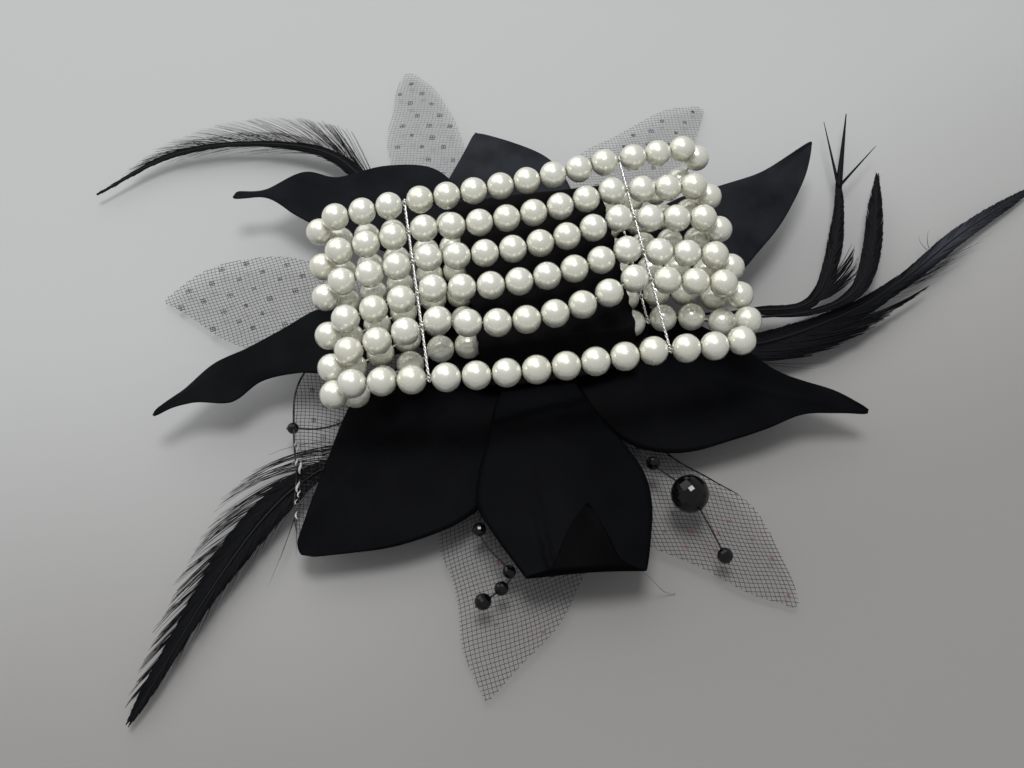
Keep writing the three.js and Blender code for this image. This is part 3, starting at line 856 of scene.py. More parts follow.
@dataclass
class PearlBand:
    """Six strands of pearls: runs on the flower and on top, and four folded ends between them.

    Attributes:
        pearl: diameter of a pearl; pearls touch.
        pearl_sides: corners round a pearl.
        pearl_rings: rings of a pearl from one end of its bore to the other.
        bore: radius of a pearl's bore.
        pinhole: radius of the bore of a pearl at a fold, too small to show.
        elastic: radius of the elastic.
        run_pearls: pearls of a run.
        fold_pearls: pearls of half a folded end.
        fold_slope: slope of a folded end, in degrees.
        end_slope: slope at its last pearl.
        lower_pitch: distance of the rows on the flower.
        lower_centre: middle of those rows.
        upper_pitch: even distance of the rows on top.
        upper_first: even place of the first row on top.
        lies: how each strand lies.
        lower_lateness: power of the way by which the rows below drift to the right fold.
        lower_z: height of the rows on the flower.
        spacer: clear width that a spacer wire takes between two pearls.
        overhang: length of a spacer wire past its last rows.
        wire: radius of one strand of a spacer wire.
        half_turn: length of a half turn of its strands.
        wound: distance of its strands from its middle.
        eye: half length of the eye that they make round an elastic.
        eye_width: how much further from the middle they are in an eye.
        seed: number that the chance starts from.
    """

    pearl: float = 6.2
    pearl_sides: int = 18
    pearl_rings: int = 13
    bore: float = 0.32
    pinhole: float = 0.02
    elastic: float = 0.25
    run_pearls: int = 8
    fold_pearls: int = 3
    fold_slope: float = 6.0
    end_slope: float = 47.0
    lower_pitch: float = 6.84
    lower_centre: float = 3.9
    upper_pitch: float = 8.0
    upper_first: float = 20.0
    lies: tuple[StrandLie, ...] = (
        StrandLie((-1.2, 3.0), (-1.6, 6.5), 0.8),
        StrandLie((-1.5, 2.5), (-3.6, 2.5), 1.8),
        StrandLie((-1.6, 2.5), (-4.0, 0.8), 2.4),
        StrandLie((-1.9, 1.6), (-6.2, -2.0), 2.7),
        StrandLie((-2.2, 1.8), (-6.4, -1.7), 4.6),
        StrandLie((-8.4, -8.8), (-5.0, -0.5), 0.9, 12),
    )
    lower_lateness: int = 3
    lower_z: float = 20.0
    spacer: float = 0.9
    overhang: float = 0.8
    wire: float = 0.19
    half_turn: float = 1.25
    wound: float = 0.17
    eye: float = 0.75
    eye_width: float = 0.27
    seed: int = 11

    def __post_init__(self) -> None:
        """Works out the places of the rows and the folded ends."""
        self.rows = range(len(self.lies))
        self.first_step = self.pearl + self.spacer
        self.run_half = (self.run_pearls - 1) / 2 * self.pearl
        slopes = np.radians([self.fold_slope, self.end_slope])
        self.incline, last = stacked(np.cos(slopes), np.sin(slopes))
        slant = self.first_step + (self.fold_pearls - 1) * self.pearl
        self.fold_end = slant * self.incline + self.pearl * last
        self.upper_z = self.lower_z + 2 * self.fold_end[1]
        order = np.arange(len(self.lies))
        self.lower_rows = self.lower_centre + ((len(order) - 1) / 2 - order) * self.lower_pitch
        self.even_rows = self.upper_first - order * self.upper_pitch
        self.chance = np.random.default_rng(self.seed)

    def run(self, row: int, upper: bool) -> Array:
        """Centres of a run's pearls; a row on top slants evenly and sags as a parabola."""
        x = np.linspace(-1, 1, self.run_pearls) * self.run_half
        lie = self.lies[row]
        slant = self.even_rows[row] + np.linspace(*lie.run, self.run_pearls)
        sagged = slant - lie.sag * (1 - (x / self.run_half) ** 2)
        if upper:
            return stacked(x, sagged, self.upper_z)
        return stacked(x, self.lower_rows[row], self.lower_z)

    def fold(self, side: int, upper: bool, row: int, ways: Array) -> Array:
        """Points of a folded end; a row drifts from its run's end to its place at the fold, evenly or late.

        Args:
            side: -1 at the left, 1 at the right.
            upper: whether it is the half that is turned over.
            row: number of the strand.
            ways: distance from the end of the run and height gained, for each point.

        Returns:
            The points.
        """
        distance, rise = ways.T
        lie = self.lies[row]
        start = self.even_rows[row] + lie.run[int(side > 0)] if upper else self.lower_rows[row]
        end = self.even_rows[row] + lie.fold[int(side > 0)]
        late = lie.lateness if upper else self.lower_lateness
        share = (distance / self.fold_end[0]) ** (late if side > 0 else 1)
        z = self.upper_z - rise if upper else self.lower_z + rise
        return stacked(side * (self.run_half + distance), start + (end - start) * share, z)

    def pearls(self, centres: Array, axes: Array, bore: float) -> Surface:
        """Pearls with bores along their axes, each of a shade of its own."""
        shades = self.chance.random(len(centres))
        return Surface.beads(centres, axes, self.pearl / 2, bore, self.pearl_sides, self.pearl_rings, shades)

    def strung(self, route: Array, centres: Array, axes: Array) -> Surface:
        """Elastic along a route, and pearls on it with their bores along the axes."""
        elastic = Surface.tubes(route[None], self.elastic, finish=1)
        return Surface.join([self.pearls(centres, axes, self.bore), elastic])

    def folded_row(self, side: int, upper: bool, row: int) -> Surface:
        """Row of half a folded end; the lower half carries the pearl at the fold, which shows no bore."""
        slant = self.first_step + np.arange(-2, self.fold_pearls) * self.pearl
        slant[:2] = [0.0, self.first_step / 2]
        ways = np.concatenate([slant[:, None] * self.incline, [self.fold_end]])
        route = self.fold(side, upper, row, ways)
        strung = self.strung(route, route[2:-1], np.diff(route, axis=0)[1:-1])
        if upper:
            return strung
        level = np.array([[1.0, 0.0, 0.0]])
        return Surface.join([strung, self.pearls(route[-1:], level, self.pinhole)])

    def spacer_wire(self, side: int, upper: bool) -> Surface:
        """Twisted pair across the rows: an eye round each elastic, and half turns in between."""
        ways = self.first_step / 2 * self.incline[None]
        crossings = np.concatenate([self.fold(side, upper, row, ways) for row in self.rows])
        ends = np.array([crossings[0, 1] + self.overhang, crossings[-1, 1] - self.overhang])
        y = np.linspace(ends[0], ends[1], 181)
        known = np.concatenate([ends[:1], crossings[:, 1], ends[1:]])
        half_turns = np.round(np.abs(np.diff(known)) / self.half_turn)
        angles = np.pi / 2 + np.pi * (np.concatenate([[0], np.cumsum(half_turns)]) - half_turns[0])
        eyes = np.exp(-(((y[:, None] - crossings[:, 1]) / self.eye) ** 2)).max(1)
        path = stacked(crossings[0, 0], y, crossings[0, 2])
        return twisted(path, self.wound + self.eye_width * eyes, np.interp(-y, -known, angles), self.wire, 2)

    def build(self) -> None:
        """Makes the runs and the folded ends."""
        finishes = [PEARL, ELASTIC, SILVER]
        for row in self.rows:
            for upper, word, body in ((False, "base", Body.FLOWER), (True, "top", Body.TOP_RUN)):
                node = f"{word}_strand_{row + 1}"
                centres = self.run(row, upper)
                surface = self.strung(centres, centres, np.gradient(centres, axis=0))
                place_piece(f"{node}_pearls", surface, finishes, (node,), body)
        for side, way in ((-1, "left"), (1, "right")):
            for upper, level in ((False, "lower"), (True, "upper")):
                node = f"{level}_{way}_rows"
                rows = [self.folded_row(side, upper, row) for row in self.rows]
                surface = Surface.join([*rows, self.spacer_wire(side, upper)])
                place_piece(f"{node}_pearls", surface, finishes, (node,), Body(f"{level}_{way}"))


@dataclass
class FeltPieces:
    """Backing oval, bridge over the strands and the disc behind the flower's face.

    Attributes:
        backing_length: length of the oval along the strands.
        backing_thickness: its thickness.
        backing_z: height of its lower face.
        squareness: power that draws the oval out to its corners.
        margin: felt past the bridge's ends.
        bridge_length: length of the bridge along the strands.
        bridge_centre: its middle along the strands.
        bridge_thickness: its thickness.
        bend: half width of the bend at each of its walls.
        ripple: depth of the hollows between the rows.
        fray: how far its cut edges wander.
        fray_pace: how fast they wander, in radians per millimetre.
        flange: length that is glued down at each end.
        glue: thickness of the glue there.
        fit: clearance over the pearls.
        disc_diameter: diameter of the front disc.
        disc_thickness: its thickness.
        disc_z: height of its lower face.
    """

    backing_length: float = 52.0
    backing_thickness: float = 1.2
    backing_z: float = 15.5
    squareness: float = 0.6
    margin: float = 1.5
    bridge_length: float = 35.0
    bridge_centre: float = 4.0
    bridge_thickness: float = 0.8
    bend: float = 0.9
    ripple: float = 0.28
    fray: float = 0.18
    fray_pace: float = 1.9
    flange: float = 4.0
    glue: float = 0.1
    fit: float = 0.2
    disc_diameter: float = 28.0
    disc_thickness: float = 0.8
    disc_z: float = 5.4

    @staticmethod
    def slab(outline: Array, low: float, high: float) -> Surface:
        """A slab with rounded edges: rings of the outline shrunk by a half round, closed above and below.

        Args:
            outline: points round its edge, seen from above, turning left.
            low: height of its lower face.
            high: height of its upper face.

        Returns:
            The slab.
        """
        centre = outline.mean(0)
        round_edge = np.linspace(-np.pi / 2, np.pi / 2, 7)
        half = (high - low) / 2
        shrink = half * (1 - np.cos(round_edge)) / np.ptp(outline[:, 0]) * 2
        inset = np.concatenate([[0.5, 0.9], 1 - shrink, [0.9, 0.5]])
        height = np.concatenate([[low, low], (low + high) / 2 + half * np.sin(round_edge), [high, high]])
        places = centre + (outline - centre) * inset[:, None, None]
        rings = np.concatenate([places, np.broadcast_to(height[:, None, None], places.shape[:2] + (1,))], -1)
        return Surface.grid(rings[:, ::-1], around=True).closed_over(len(outline))

    def build(self, band: PearlBand) -> None:
        """Makes the three felts, with the bridge fitted over the rows of the band."""
        half = self.bridge_thickness / 2
        wall = band.pearl / 2 + self.fit + half
        left = band.lower_rows[-1] - wall
        right = band.lower_rows[0] + wall
        near = left - half - self.flange
        far = right + half + self.flange
        self.build_backing(near, far)
        self.build_bridge(band, near, far, left, right)
        self.build_disc()

    def build_backing(self, near: float, far: float) -> None:
        """Backing: an oval drawn out to its corners, longer than the bridge at its near and far end."""
        angle = np.linspace(0, 2 * np.pi, 96, endpoint=False)
        circle = stacked(np.cos(angle), np.sin(angle))
        oval = np.sign(circle) * np.abs(circle) ** self.squareness
        width = far - near + 2 * self.margin
        outline = oval * [self.backing_length / 2, width / 2] + [self.bridge_centre / 2, (far + near) / 2]
        slab = self.slab(outline, self.backing_z, self.backing_z + self.backing_thickness)
        backing = place_piece("backing_cloth", slab, [FELT], ("backing_felt",))

    def build_bridge(self, band: PearlBand, near: float, far: float, left: float, right: float) -> None:
        """Bridge over the strands: flat at both ends, up one wall, over the rows with a ripple, and down.

        Args:
            band: the strands below it.
            near: edge of its near end.
            far: edge of its far end.
            left: middle of its near wall.
            right: middle of its far wall.
        """
        low = self.backing_z + self.backing_thickness + self.fit + self.glue + self.bridge_thickness / 2
        high = band.lower_z + band.pearl / 2 + self.fit + self.bridge_thickness / 2
        bend = np.cos(np.linspace(0, np.pi, 12)) * self.bend
        flanges = (np.linspace(near, left - 1, 8), np.linspace(right + 1, far, 8))
        span = np.linspace(left + 1, right - 1, 90)
        y = np.concatenate([flanges[0], left - bend, span, right - bend, flanges[1]])
        up = ease(y, left - self.bend, left + self.bend) * (1 - ease(y, right - self.bend, right + self.bend))
        ripple = self.ripple * (np.cos(2 * np.pi * (y - band.lower_rows[0]) / band.lower_pitch) - 1)
        z = low + (high - low) * up + ripple * up**8 + self.ripple * up**8 * 0.5
        across = np.linspace(-1, 1, 41)
        x = self.bridge_centre + across / 2 * self.bridge_length
        run = np.concatenate([[0], np.cumsum(np.hypot(np.diff(y), np.diff(z)))])
        fray = self.fray * np.sin(run[:, None] * self.fray_pace) * np.abs(across) ** 8
        points = stacked(x + fray, y[:, None], z[:, None])
        flat = stacked(x, run[:, None])
        sheet = Surface.grid(points[:, ::-1], flat)
        bridge = place_piece("bridge_cloth", sheet, [FELT], ("cover_patch",))
        thicken(bridge, self.bridge_thickness)

    def build_disc(self) -> None:
        """Front disc, cut a little unevenly."""
        angle = np.linspace(0, 2 * np.pi, 72, endpoint=False)
        radius = self.disc_diameter / 2 * (1 + 0.008 * np.sin(7 * angle) + 0.005 * np.sin(17 * angle + 1))
        outline = stacked(radius * np.cos(angle), FLOWER_Y + radius * np.sin(angle))
        slab = self.slab(outline, self.disc_z, self.disc_z + self.disc_thickness)
        disc = place_piece("front_cloth", slab, [FELT], ("front_felt",))


# Flower


@dataclass(frozen=True)
class LeafCut:
    """Cut of one leaf: its rib seen from above and its half widths at equal steps along it.

    Attributes:
        root: place round the core, in degrees.
        bend: point that the rib bends towards.
        tip: its tip.
        left: half widths on the left, from root to tip.
        right: half widths on the right.
        layer: layer in the stack.
    """

    root: float
    bend: tuple[float, float]
    tip: tuple[float, float]
    left: tuple[float, ...]
    right: tuple[float, ...]
    layer: int

    def rib(self) -> Rib:
        """The rib: a parabola from the root towards the bend and on to the tip."""
        return Rib(parabola(root_point(self.root), np.array(self.bend), np.array(self.tip), RIB_STEPS))

    def edge(self, share: Array, side: Array | int) -> Array:
        """Half width at a place along the rib, on the side that the sign says."""
        inside = np.where(side > 0, through(self.left, share), through(self.right, share))
        return np.maximum(inside, LEAST_HALF_WIDTH)

    def flat_size(self) -> tuple[tuple[float, float], float]:
        """Width and length of the flat cut in metres, and its area: half widths added up along the rib."""
        share = np.linspace(0, 1, 401)
        left, right = (self.edge(share, side) for side in (1, -1))
        length = self.rib().length
        size = (float(left.max() + right.max()) * MM, length * MM)
        return size, float((left + right).mean() * length * MM * MM)


@dataclass(frozen=True)
class PetalCut(LeafCut):
    """Cut of a cloth petal with what its cloth does.

    Attributes:
        curl: how tightly its tip rolls up, as one over the radius.
        curl_from: place along the rib where the roll starts.
        lift: how far its tip rises.
        crease: depth of the crease along the rib.
        wave: height of the wave along its edges.
        wave_phase: where that wave starts.
        tone_and_painted_sheen: shade of its satin, up to 1; at 0.05 the plain black cloth, and above it
            painted sheen, the lighter satin where a petal tilts towards the lamps.
        crease_at: distance of the crease to the left of the rib.
        crease_width: half width of the crease.
        pleat: place along the rib of a pleat that is pressed across the root, or 0.
        fold: place along the rib where its tip is folded back, or 1.
        fold_slope: slope of that fold, from square to the rib.
        rounding: length over which its tip is rounded.
    """

    curl: float = 0.0
    curl_from: float = 0.8
    lift: float = 0.0
    crease: float = 0.35
    wave: float = 0.6
    wave_phase: float = 0.0
    tone_and_painted_sheen: float = 0.05
    crease_at: float = 0.0
    crease_width: float = 0.9
    pleat: float = 0.0
    fold: float = 1.0
    fold_slope: float = 0.0
    rounding: float = 1.6

    def edge(self, share: Array, side: Array | int) -> Array:
        """Half width at a place along the rib, drawn in on a quarter ellipse at the tip."""
        left = np.clip((1 - share) * self.rib().length / self.rounding, 0.0, 1.0)
        return np.maximum(super().edge(share, side) * np.sqrt(1 - (1 - left) ** 2), LEAST_HALF_WIDTH)


PETALS = (
    PetalCut(
        122, (-31, 44), (-67, 43.3),
        (2, 4, 6, 7.6, 8.8, 9.4, 9.4, 8.4, 5.6, 1.1, 1.5),
        (2, 5, 9, 14.2, 18.0, 20.4, 15.4, 7.1, 7.4, 1.5, 1.7),
        1, curl=0.5, curl_from=0.9, lift=1.2, crease=0.12, wave=0.7, wave_phase=1.0, tone_and_painted_sheen=0.2,
    ),
    PetalCut(
        178, (-52, 3), (-87, -15),
        (2, 3.3, 4.9, 6.4, 7.4, 8.0, 5.6, 4.4, 6.2, 2.3, 0.9),
        (2, 3.3, 5.4, 8.2, 10.2, 10.3, 6.6, 4.8, 5.0, 2.3, 0.9),
        1, curl=0.7, curl_from=0.9, lift=-0.6, crease=0.25, wave=0.8, wave_phase=2.2, tone_and_painted_sheen=0.11,
    ),
    PetalCut(
        222, (-30, -31), (-56.6, -52.3),
        (2, 8, 13, 17, 19.9, 20.9, 19.8, 16.8, 12.6, 7.0, 1.2),
        (2, 8, 12.5, 16, 18.6, 18.8, 16.2, 12.6, 9.2, 5.9, 2.2),
        0, wave=0.5, lift=-0.5, crease=0.1, crease_at=-5.0, wave_phase=0.4,
    ),
    PetalCut(
        270, (-1, -38), (2, -84),
        (2, 5.5, 8.7, 11.6, 15.5, 17.9, 17.6, 15.4, 12.4, 7.5, 0.6),
        (2, 7, 11.3, 13.8, 17.2, 18.9, 16.6, 13.6, 10.4, 6.6, 0.6),
        1, crease=0.6, crease_at=-6.6, crease_width=0.6, wave=0.35, wave_phase=0.8,
        pleat=0.24, fold=0.767, fold_slope=0.13,
    ),
    PetalCut(
        334, (38, -27), (71.5, -38.5),
        (2, 6.5, 11, 14, 14.4, 12.6, 10.3, 6.8, 5, 3.4, 0.5),
        (2, 9, 16, 20.2, 20.8, 18.6, 14.2, 9.4, 4, 1.9, 0.5),
        0, curl=0.22, curl_from=0.75, lift=0.8, crease=0.15, wave=0.5, wave_phase=1.6,
    ),
    PetalCut(
        20, (48, 11), (80.3, 37.6),
        (2, 3.4, 6, 9, 11.6, 12.4, 11.2, 7.6, 3.5, 1.7, 0.3),
        (2, 3.6, 6.6, 10, 12.8, 14, 12.3, 10.4, 7.7, 4.6, 0.3),
        1, lift=2.0, crease=0.15, wave=0.7, wave_phase=2.8, tone_and_painted_sheen=0.38,
    ),
    PetalCut(
        94, (-1, 28), (-4, 58.3),
        (2, 6.8, 11.2, 15, 17.9, 19, 17, 12.6, 8.5, 4.4, 0.4),
        (2, 6.8, 11.2, 15, 17.9, 19.4, 19.4, 18.3, 15.2, 8.6, 0.4),
        0, lift=-0.5, crease=0.15, wave=0.3, wave_phase=0.1, tone_and_painted_sheen=0.62,
    ),
)


@dataclass
class OuterPetals:
    """Seven cloth petals in two layers, glued round the core.

    Attributes:
        heights: height of each layer.
        thickness: thickness of the cloth.
        cup: how far the edges turn down.
        droop: how far a petal hangs at the leaves' reach.
        free: stretch of the rib over which the cloth comes free of the core.
        waves: turn of the wave along an edge, in radians.
        lift_from: place along the rib where a tip starts to rise.
        pleat_drop: how far a pleat steps down.
        pleat_width: half width of that step, as a share of the rib.
        pleat_slope: slope of a pleat, from square to the rib.
        flap_gap: space between a folded tip and its petal.
        flap_turn: share of the rib over which a folded tip rises to that gap.
        flap_share: width of a folded tip as a share of the fold.
        flap_narrowing: share of the rib over which it narrows to that.
        flap_reach: length of a folded tip as a share of the cloth past the fold.
        flap_crowding: power by which its rows of points crowd towards the fold.
        rows: points along a petal.
        columns: points across it.
        yarn: radius of the frayed yarn.
        cuts: the petals.
    """

    heights: tuple[float, float] = (11.75, 14.85)
    thickness: float = 0.4
    cup: float = 2.0
    droop: float = 3.0
    free: tuple[float, float] = (0.25, 0.7)
    waves: float = 11.0
    lift_from: float = 0.6
    pleat_drop: float = 0.7
    pleat_width: float = 0.006
    pleat_slope: float = 0.1
    flap_gap: float = 0.9
    flap_turn: float = 0.006
    flap_share: float = 0.58
    flap_narrowing: float = 0.012
    flap_reach: float = 0.87
    flap_crowding: float = 1.6
    rows: int = 90
    columns: int = 33
    yarn: float = 0.09
    cuts: tuple[PetalCut, ...] = PETALS

    def surface(self, cut: PetalCut) -> Surface:
        """A petal as a sheet: along its rib and across it.

        Its edges turn down as the 1.5th power of the way out, its tip hangs as the square of the reach,
        a narrow groove runs beside the rib, a wave runs along the edges, and the tip rolls up on a circle.
        A pleat steps down towards the root. Past a fold the cloth is mirrored and lies a gap higher.

        Args:
            cut: the petal.

        Returns:
            The sheet.
        """
        rib = cut.rib()
        rows = np.sin(np.linspace(0, np.pi / 2, self.rows))[:, None]
        across = np.linspace(-1, 1, self.columns)[None]
        fold = cut.fold + cut.fold_slope * across * cut.edge(np.array(cut.fold), across) / rib.length
        share = rows * fold
        if cut.fold < 1:
            crowded = np.linspace(0.02, 1, 40)[:, None] ** self.flap_crowding
            share = np.concatenate([share, fold + crowded * (1 - fold)])
        wide = across * cut.edge(share, across)
        flap = np.arange(len(share))[:, None] >= self.rows
        past = np.where(flap, np.maximum(share - cut.fold - cut.fold_slope * wide / rib.length, 0.0), 0.0)
        narrow = self.flap_share + (1 - self.flap_share) * np.exp(-past / self.flap_narrowing)
        wide = wide * np.where(flap, narrow, 1.0)
        half = max(*cut.left, *cut.right)
        bend = cut.curl * ease(share, cut.curl_from, 1.0)
        sideways = wide * np.sinc(bend * wide / np.pi)
        rolled = wide * np.sinc(bend * wide / (2 * np.pi)) * np.sin(bend * wide / 2)
        turn = 2 * np.arctan(cut.fold_slope)
        tip = self.flap_reach * (share - cut.fold)
        mirrored = cut.fold - tip * np.cos(turn) + wide * np.sin(turn) / rib.length
        along = np.where(flap, mirrored, share)
        sideways = np.where(flap, tip * rib.length * np.sin(turn) + wide * np.cos(turn), sideways)
        places = rib.place(along, sideways)
        turned = self.cup * (np.abs(sideways) / half) ** 1.5
        free = ease(along, *self.free)
        groove = cut.crease * np.exp(-(((wide - cut.crease_at) / cut.crease_width) ** 2)) * free * ~flap
        wave = np.sin(self.waves * along + cut.wave_phase + np.sign(across))
        ripple = cut.wave * wave * across**2 * free
        hang = self.droop * reach_share(places) ** 2 - cut.lift * ease(along, self.lift_from, 1.0)
        lifted = self.flap_gap * (1 - np.exp(-past / self.flap_turn))
        if cut.pleat:
            line = share + self.pleat_slope * wide / rib.length
            pressed = ease(line, cut.pleat - self.pleat_width, cut.pleat + self.pleat_width)
            lifted = lifted + self.pleat_drop * (pressed - 1)
        z = self.heights[cut.layer] - turned - hang - groove + ripple + rolled + lifted
        points = np.concatenate([places, z[..., None]], -1)
        flat = stacked(wide, share * rib.length)
        # Painted sheen: each petal's tone lightens its satin where it tilts towards the lamps; the folded tip
        # gets tone 0, darker than the plain cloth.
        tone = np.broadcast_to(np.where(flap, 0.0, cut.tone_and_painted_sheen), wide.shape)
        return Surface.grid(points[:, ::-1], flat[:, ::-1], tone[:, ::-1])

    def build(self) -> None:
        """Makes the petals as sheets of cloth whose roots meet at the core, and the frayed yarn."""
        for number, cut in enumerate(self.cuts, 1):
            node = f"outer_petal_{number}"
            petal = place_piece(f"{node}_cloth", self.surface(cut), [SATIN], (node,))
            thicken(petal, self.thickness)
            flat, area = cut.flat_size()
        self.build_yarn()

    def build_yarn(self) -> None:
        """A yarn that has frayed from the corner of the folded petal and hangs to the table."""
        route = (
            (12.6, -67.9, 10.4), (14.4, -68.2, 8.6), (16.0, -69.1, 6.0),
            (17.7, -69.9, 3.0), (19.2, -70.1, 1.0), (20.8, -70.3, 0.4),
        )
        path = through(np.array(route), np.linspace(0, 1, 24))
        place_piece("frayed_yarn", Surface.tubes(path[None], self.yarn, 5), [TULLE])


@dataclass(frozen=True)
class NetCut(LeafCut):
    """Cut of a net petal with the lie of its threads.

    Attributes:
        warp: direction of one set of threads seen from above, in degrees from X.
        weft: direction of the other set.
        kind: how it is decorated.
        shade: shade of its threads; above about -0.45 the black threads are painted lighter, partly as painted
            light that thin threads catch from the lamps, partly to make up for threads thicker than the real
            ones.
        rim: side that is wired along its edge: 1 left, -1 right, 0 none.
        rim_end: place along the rib where that wire ends.
        lift: how far its outer half rises.
    """

    warp: float = 90.0
    weft: float = 0.0
    kind: NetKind = NetKind.DOTTED
    shade: float = 0.0
    rim: int = 0
    rim_end: float = 1.0
    lift: float = 0.0

    def outline(self, inset: float = 0.0) -> Array:
        """Points round the cut seen from above: out along its left edge and back along its right.

        Args:
            inset: distance that the edges are drawn in.

        Returns:
            X and Y of each point.
        """
        rib = self.rib()
        share = np.linspace(0.0, 1.0, 121)
        left, right = (np.maximum(self.edge(share, side) - inset, 0.0) for side in (1, -1))
        return np.concatenate([rib.place(share, left), rib.place(share, -right)[::-1]])


@dataclass(frozen=True)
class MarkStyle:
    """Dots or specks of a net, each woven from a few short threads.

    Attributes:
        kept: share of the places on the grid that carry one.
        size: width of a mark, before chance makes it larger or smaller.
        thread: radius of its threads.
        shade: shade of the darkest.
        spread: how much lighter the lightest is.
        finish: number of their finish.
    """

    kept: float
    size: float
    thread: float
    shade: float
    spread: float
    finish: int


MARKS = {
    NetKind.DOTTED: MarkStyle(kept=0.9, size=1.17, thread=0.08, shade=-0.3, spread=0.0, finish=0),
    NetKind.SPECKLED: MarkStyle(kept=0.5, size=0.75, thread=0.06, shade=0.0, spread=1.0, finish=1),
}


NETS = (
    NetCut(
        103, (-17, 52), (-19.7, 91),
        (1.2, 3, 5.2, 7.6, 9.8, 11.6, 12.4, 11.2, 8.2, 4.8, 0.5),
        (1.2, 2.6, 4.4, 6.2, 7.6, 8.4, 8.6, 8.6, 8.2, 6.9, 1.6),
        1, warp=75, weft=-11, shade=0.7,
    ),
    NetCut(
        60, (28, 48), (60, 65),
        (1.2, 3.4, 5.8, 8.2, 10.4, 11.9, 12, 9.3, 7, 5.1, 1.5),
        (1.2, 3.4, 5.7, 8, 9.9, 11.2, 11.8, 11.2, 9.6, 6.8, 0.6),
        0, warp=89, weft=-2, shade=0.5,
    ),
    NetCut(
        166, (-56, 13), (-87, 22),
        (1.2, 2.2, 4, 6.4, 9, 11.2, 12.4, 12.2, 9, 4.6, 0.5),
        (1.2, 2.2, 4.2, 7, 10.4, 13.2, 14.9, 15.6, 14.4, 10.2, 1),
        1, warp=-77, weft=7, shade=-0.2,
    ),
    NetCut(
        186, (-48, -6), (-57, -47),
        (1.2, 2.5, 4, 5.5, 7, 8, 8.4, 8, 6.6, 4, 0.6),
        (1.2, 3, 5.5, 8.5, 12, 15.8, 14.5, 8.5, 4.8, 2.6, 0.6),
        0, warp=88, weft=-12, shade=-0.45, rim=-1, lift=3.4,
    ),
    NetCut(
        266, (-9, -58), (-23, -87),
        (1.2, 3, 5.6, 8.8, 12, 14.6, 15.8, 13.6, 10.2, 5, 0.4),
        (1.2, 3, 6, 9.6, 13.4, 16.6, 17, 13, 9.8, 6.4, 0.4),
        1, warp=92, weft=10.5, kind=NetKind.SPECKLED, shade=-0.45,
    ),
    NetCut(
        300, (28, -52), (45, -78),
        (1.2, 2.2, 3.2, 3.8, 4, 4.6, 7, 9.6, 8.7, 5.6, 0.9),
        (1.2, 3.2, 6, 9.2, 12.2, 14.2, 14.6, 11.6, 8, 4.8, 0.5),
        0, warp=97, weft=-13.5, kind=NetKind.SPECKLED, shade=-0.45, rim=1, rim_end=0.68,
    ),
)


